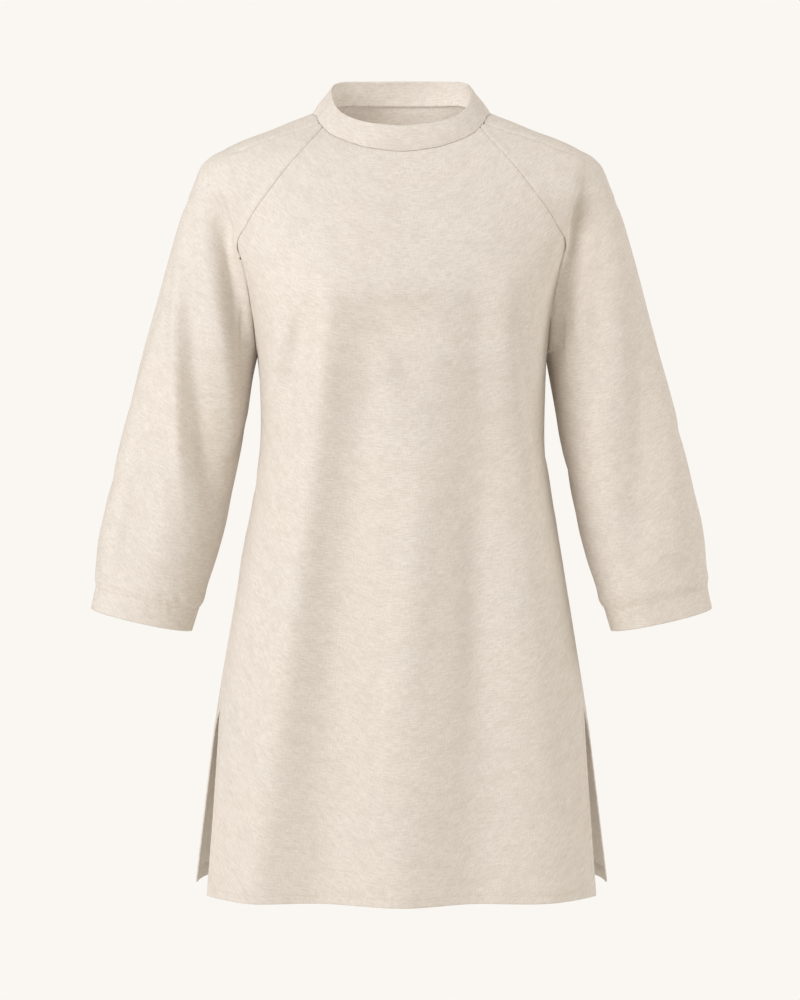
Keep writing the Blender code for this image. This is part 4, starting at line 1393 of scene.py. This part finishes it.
thread = Recipe(bpy.data.materials.new("linen_thread"))
thread_shader = thread.add("ShaderNodeBsdfPrincipled", None, {
    "Base Color": (0.66, 0.595, 0.51, 1.0), "Roughness": 0.7, "Specular IOR Level": 0.3,
})
thread.finish(thread_shader)


def inset_line(cloth, from_edge, distance, axis):
    """Points and outward ways on a cloth at a distance from an edge, for each row or column."""
    parts = cloth.surface, cloth.normals
    if axis == 1:
        from_edge, *parts = (np.swapaxes(part, 0, 1) for part in (from_edge, *parts))
    order = slice(None, None, 1 if from_edge[0, 0] < from_edge[-1, 0] else -1)

    def read(part):
        return np.stack([[np.interp(distance, from_edge[order, c], part[order, c, k])
                          for k in range(3)] for c in range(part.shape[1])])

    return [read(part) for part in parts]


def sew(shape, line, ways):
    """Add stitches along a line of points to a bmesh."""
    lengths = np.linalg.norm(np.diff(line, axis=0), axis=1)
    walked = np.concatenate(([0], np.cumsum(lengths)))
    middles = np.arange(STITCH_PITCH, walked[-1] - STITCH_PITCH, STITCH_PITCH)

    def read(place, part):
        return Vector([np.interp(place, walked, part[:, k]) for k in range(3)])

    for middle in middles:
        at, way = read(middle, line), read(middle, ways)
        forward = (read(middle + STITCH / 2, line) - read(middle - STITCH / 2, line)).normalized()
        across = forward.cross(way).normalized()
        up = across.cross(forward)
        turn = Matrix((across, up, forward)).transposed().to_4x4()
        grow = Matrix.Diagonal((THREAD / 2, THREAD / 2, STITCH / 2, 1))
        bmesh.ops.create_uvsphere(shape, u_segments=BEAD_SIDES, v_segments=BEAD_RINGS, radius=1,
                                  matrix=Matrix.Translation(at + up * THREAD_LIFT) @ turn @ grow)
    return len(middles)


def make_stitches(name, lines):
    """One piece with all the stitches along some lines."""
    shape = bmesh.new()
    count = sum(sew(shape, line, ways) for line, ways in lines)
    for face in shape.faces:
        face.smooth = True
    piece = put_mesh(name, shape)
    piece.data.materials.append(thread.owner)
    print(name, "has", count, "stitches")
    return piece


def panel_stitches(face, cloth):
    """The stitch lines of a panel: along its hem and up both slits."""
    edge = walks(PANELS[face])
    line, ways = inset_line(cloth, edge["bottom"], BODY_HEM[face] - INSET, axis=0)
    lines = [(line[HEM_TRIM:-HEM_TRIM], ways[HEM_TRIM:-HEM_TRIM])]
    for side in ("left", "right"):
        line, ways = inset_line(cloth, edge[side], SLIT_HEM - INSET, axis=1)
        beside_slit = line[:, 2] < SLIT_TOP
        lines.append((line[beside_slit][:-SLIT_TRIM], ways[beside_slit][:-SLIT_TRIM]))
    return lines


def sleeve_stitches(side, cloth):
    """The stitch line round a sleeve's hem."""
    return [inset_line(cloth, walks(SLEEVES[side])["bottom"], SLEEVE_HEM, axis=0)]


stitch_lines = {
    "front": panel_stitches(FRONT, cloths["front"]),
    "back": panel_stitches(BACK, cloths["back"]),
    "sleeve_left": sleeve_stitches(1, cloths["sleeve_left"]),
    "sleeve_right": sleeve_stitches(-1, cloths["sleeve_right"]),
}
stitches = {node: make_stitches("stitches_" + node, lines) for node, lines in stitch_lines.items()}

# %% [markdown]
# ## Each piece takes the place of its packed node
#
# The tunic has no joints, so every piece rides on the root. Each cloth takes the place of its own
# packed node, which is hidden, and its area is printed beside the area it was cut to. The table of
# cuts gives the width and length of the rectangle round each flat pattern, and the pattern's own
# area.

Cut = namedtuple("Cut", "width length area")
CUTS = {
    "front": Cut(0.47, 0.82, 0.340),
    "back": Cut(0.59, 0.87, 0.380),
    "sleeve_left": Cut(0.39, 0.60, 0.180),
    "sleeve_right": Cut(0.39, 0.60, 0.180),
    "collar_outer": Cut(0.45, 0.031, 0.0134),
    "collar_inner": Cut(0.45, 0.030, 0.0129),
}

for node, cloth in cloths.items():
    piece, cut = cloth.piece, CUTS[node]
    piece.data.materials.append(linen.owner)
    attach(piece, "root")
    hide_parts(node)
    [stitches[node]] if node in stitches else []
    area = sum(face.area for face in piece.data.polygons) / 2
    print(node, "cloth area", round(area, 4), "m2, cut area", cut.area, "m2")
for piece in stitches.values():
    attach(piece, "root")
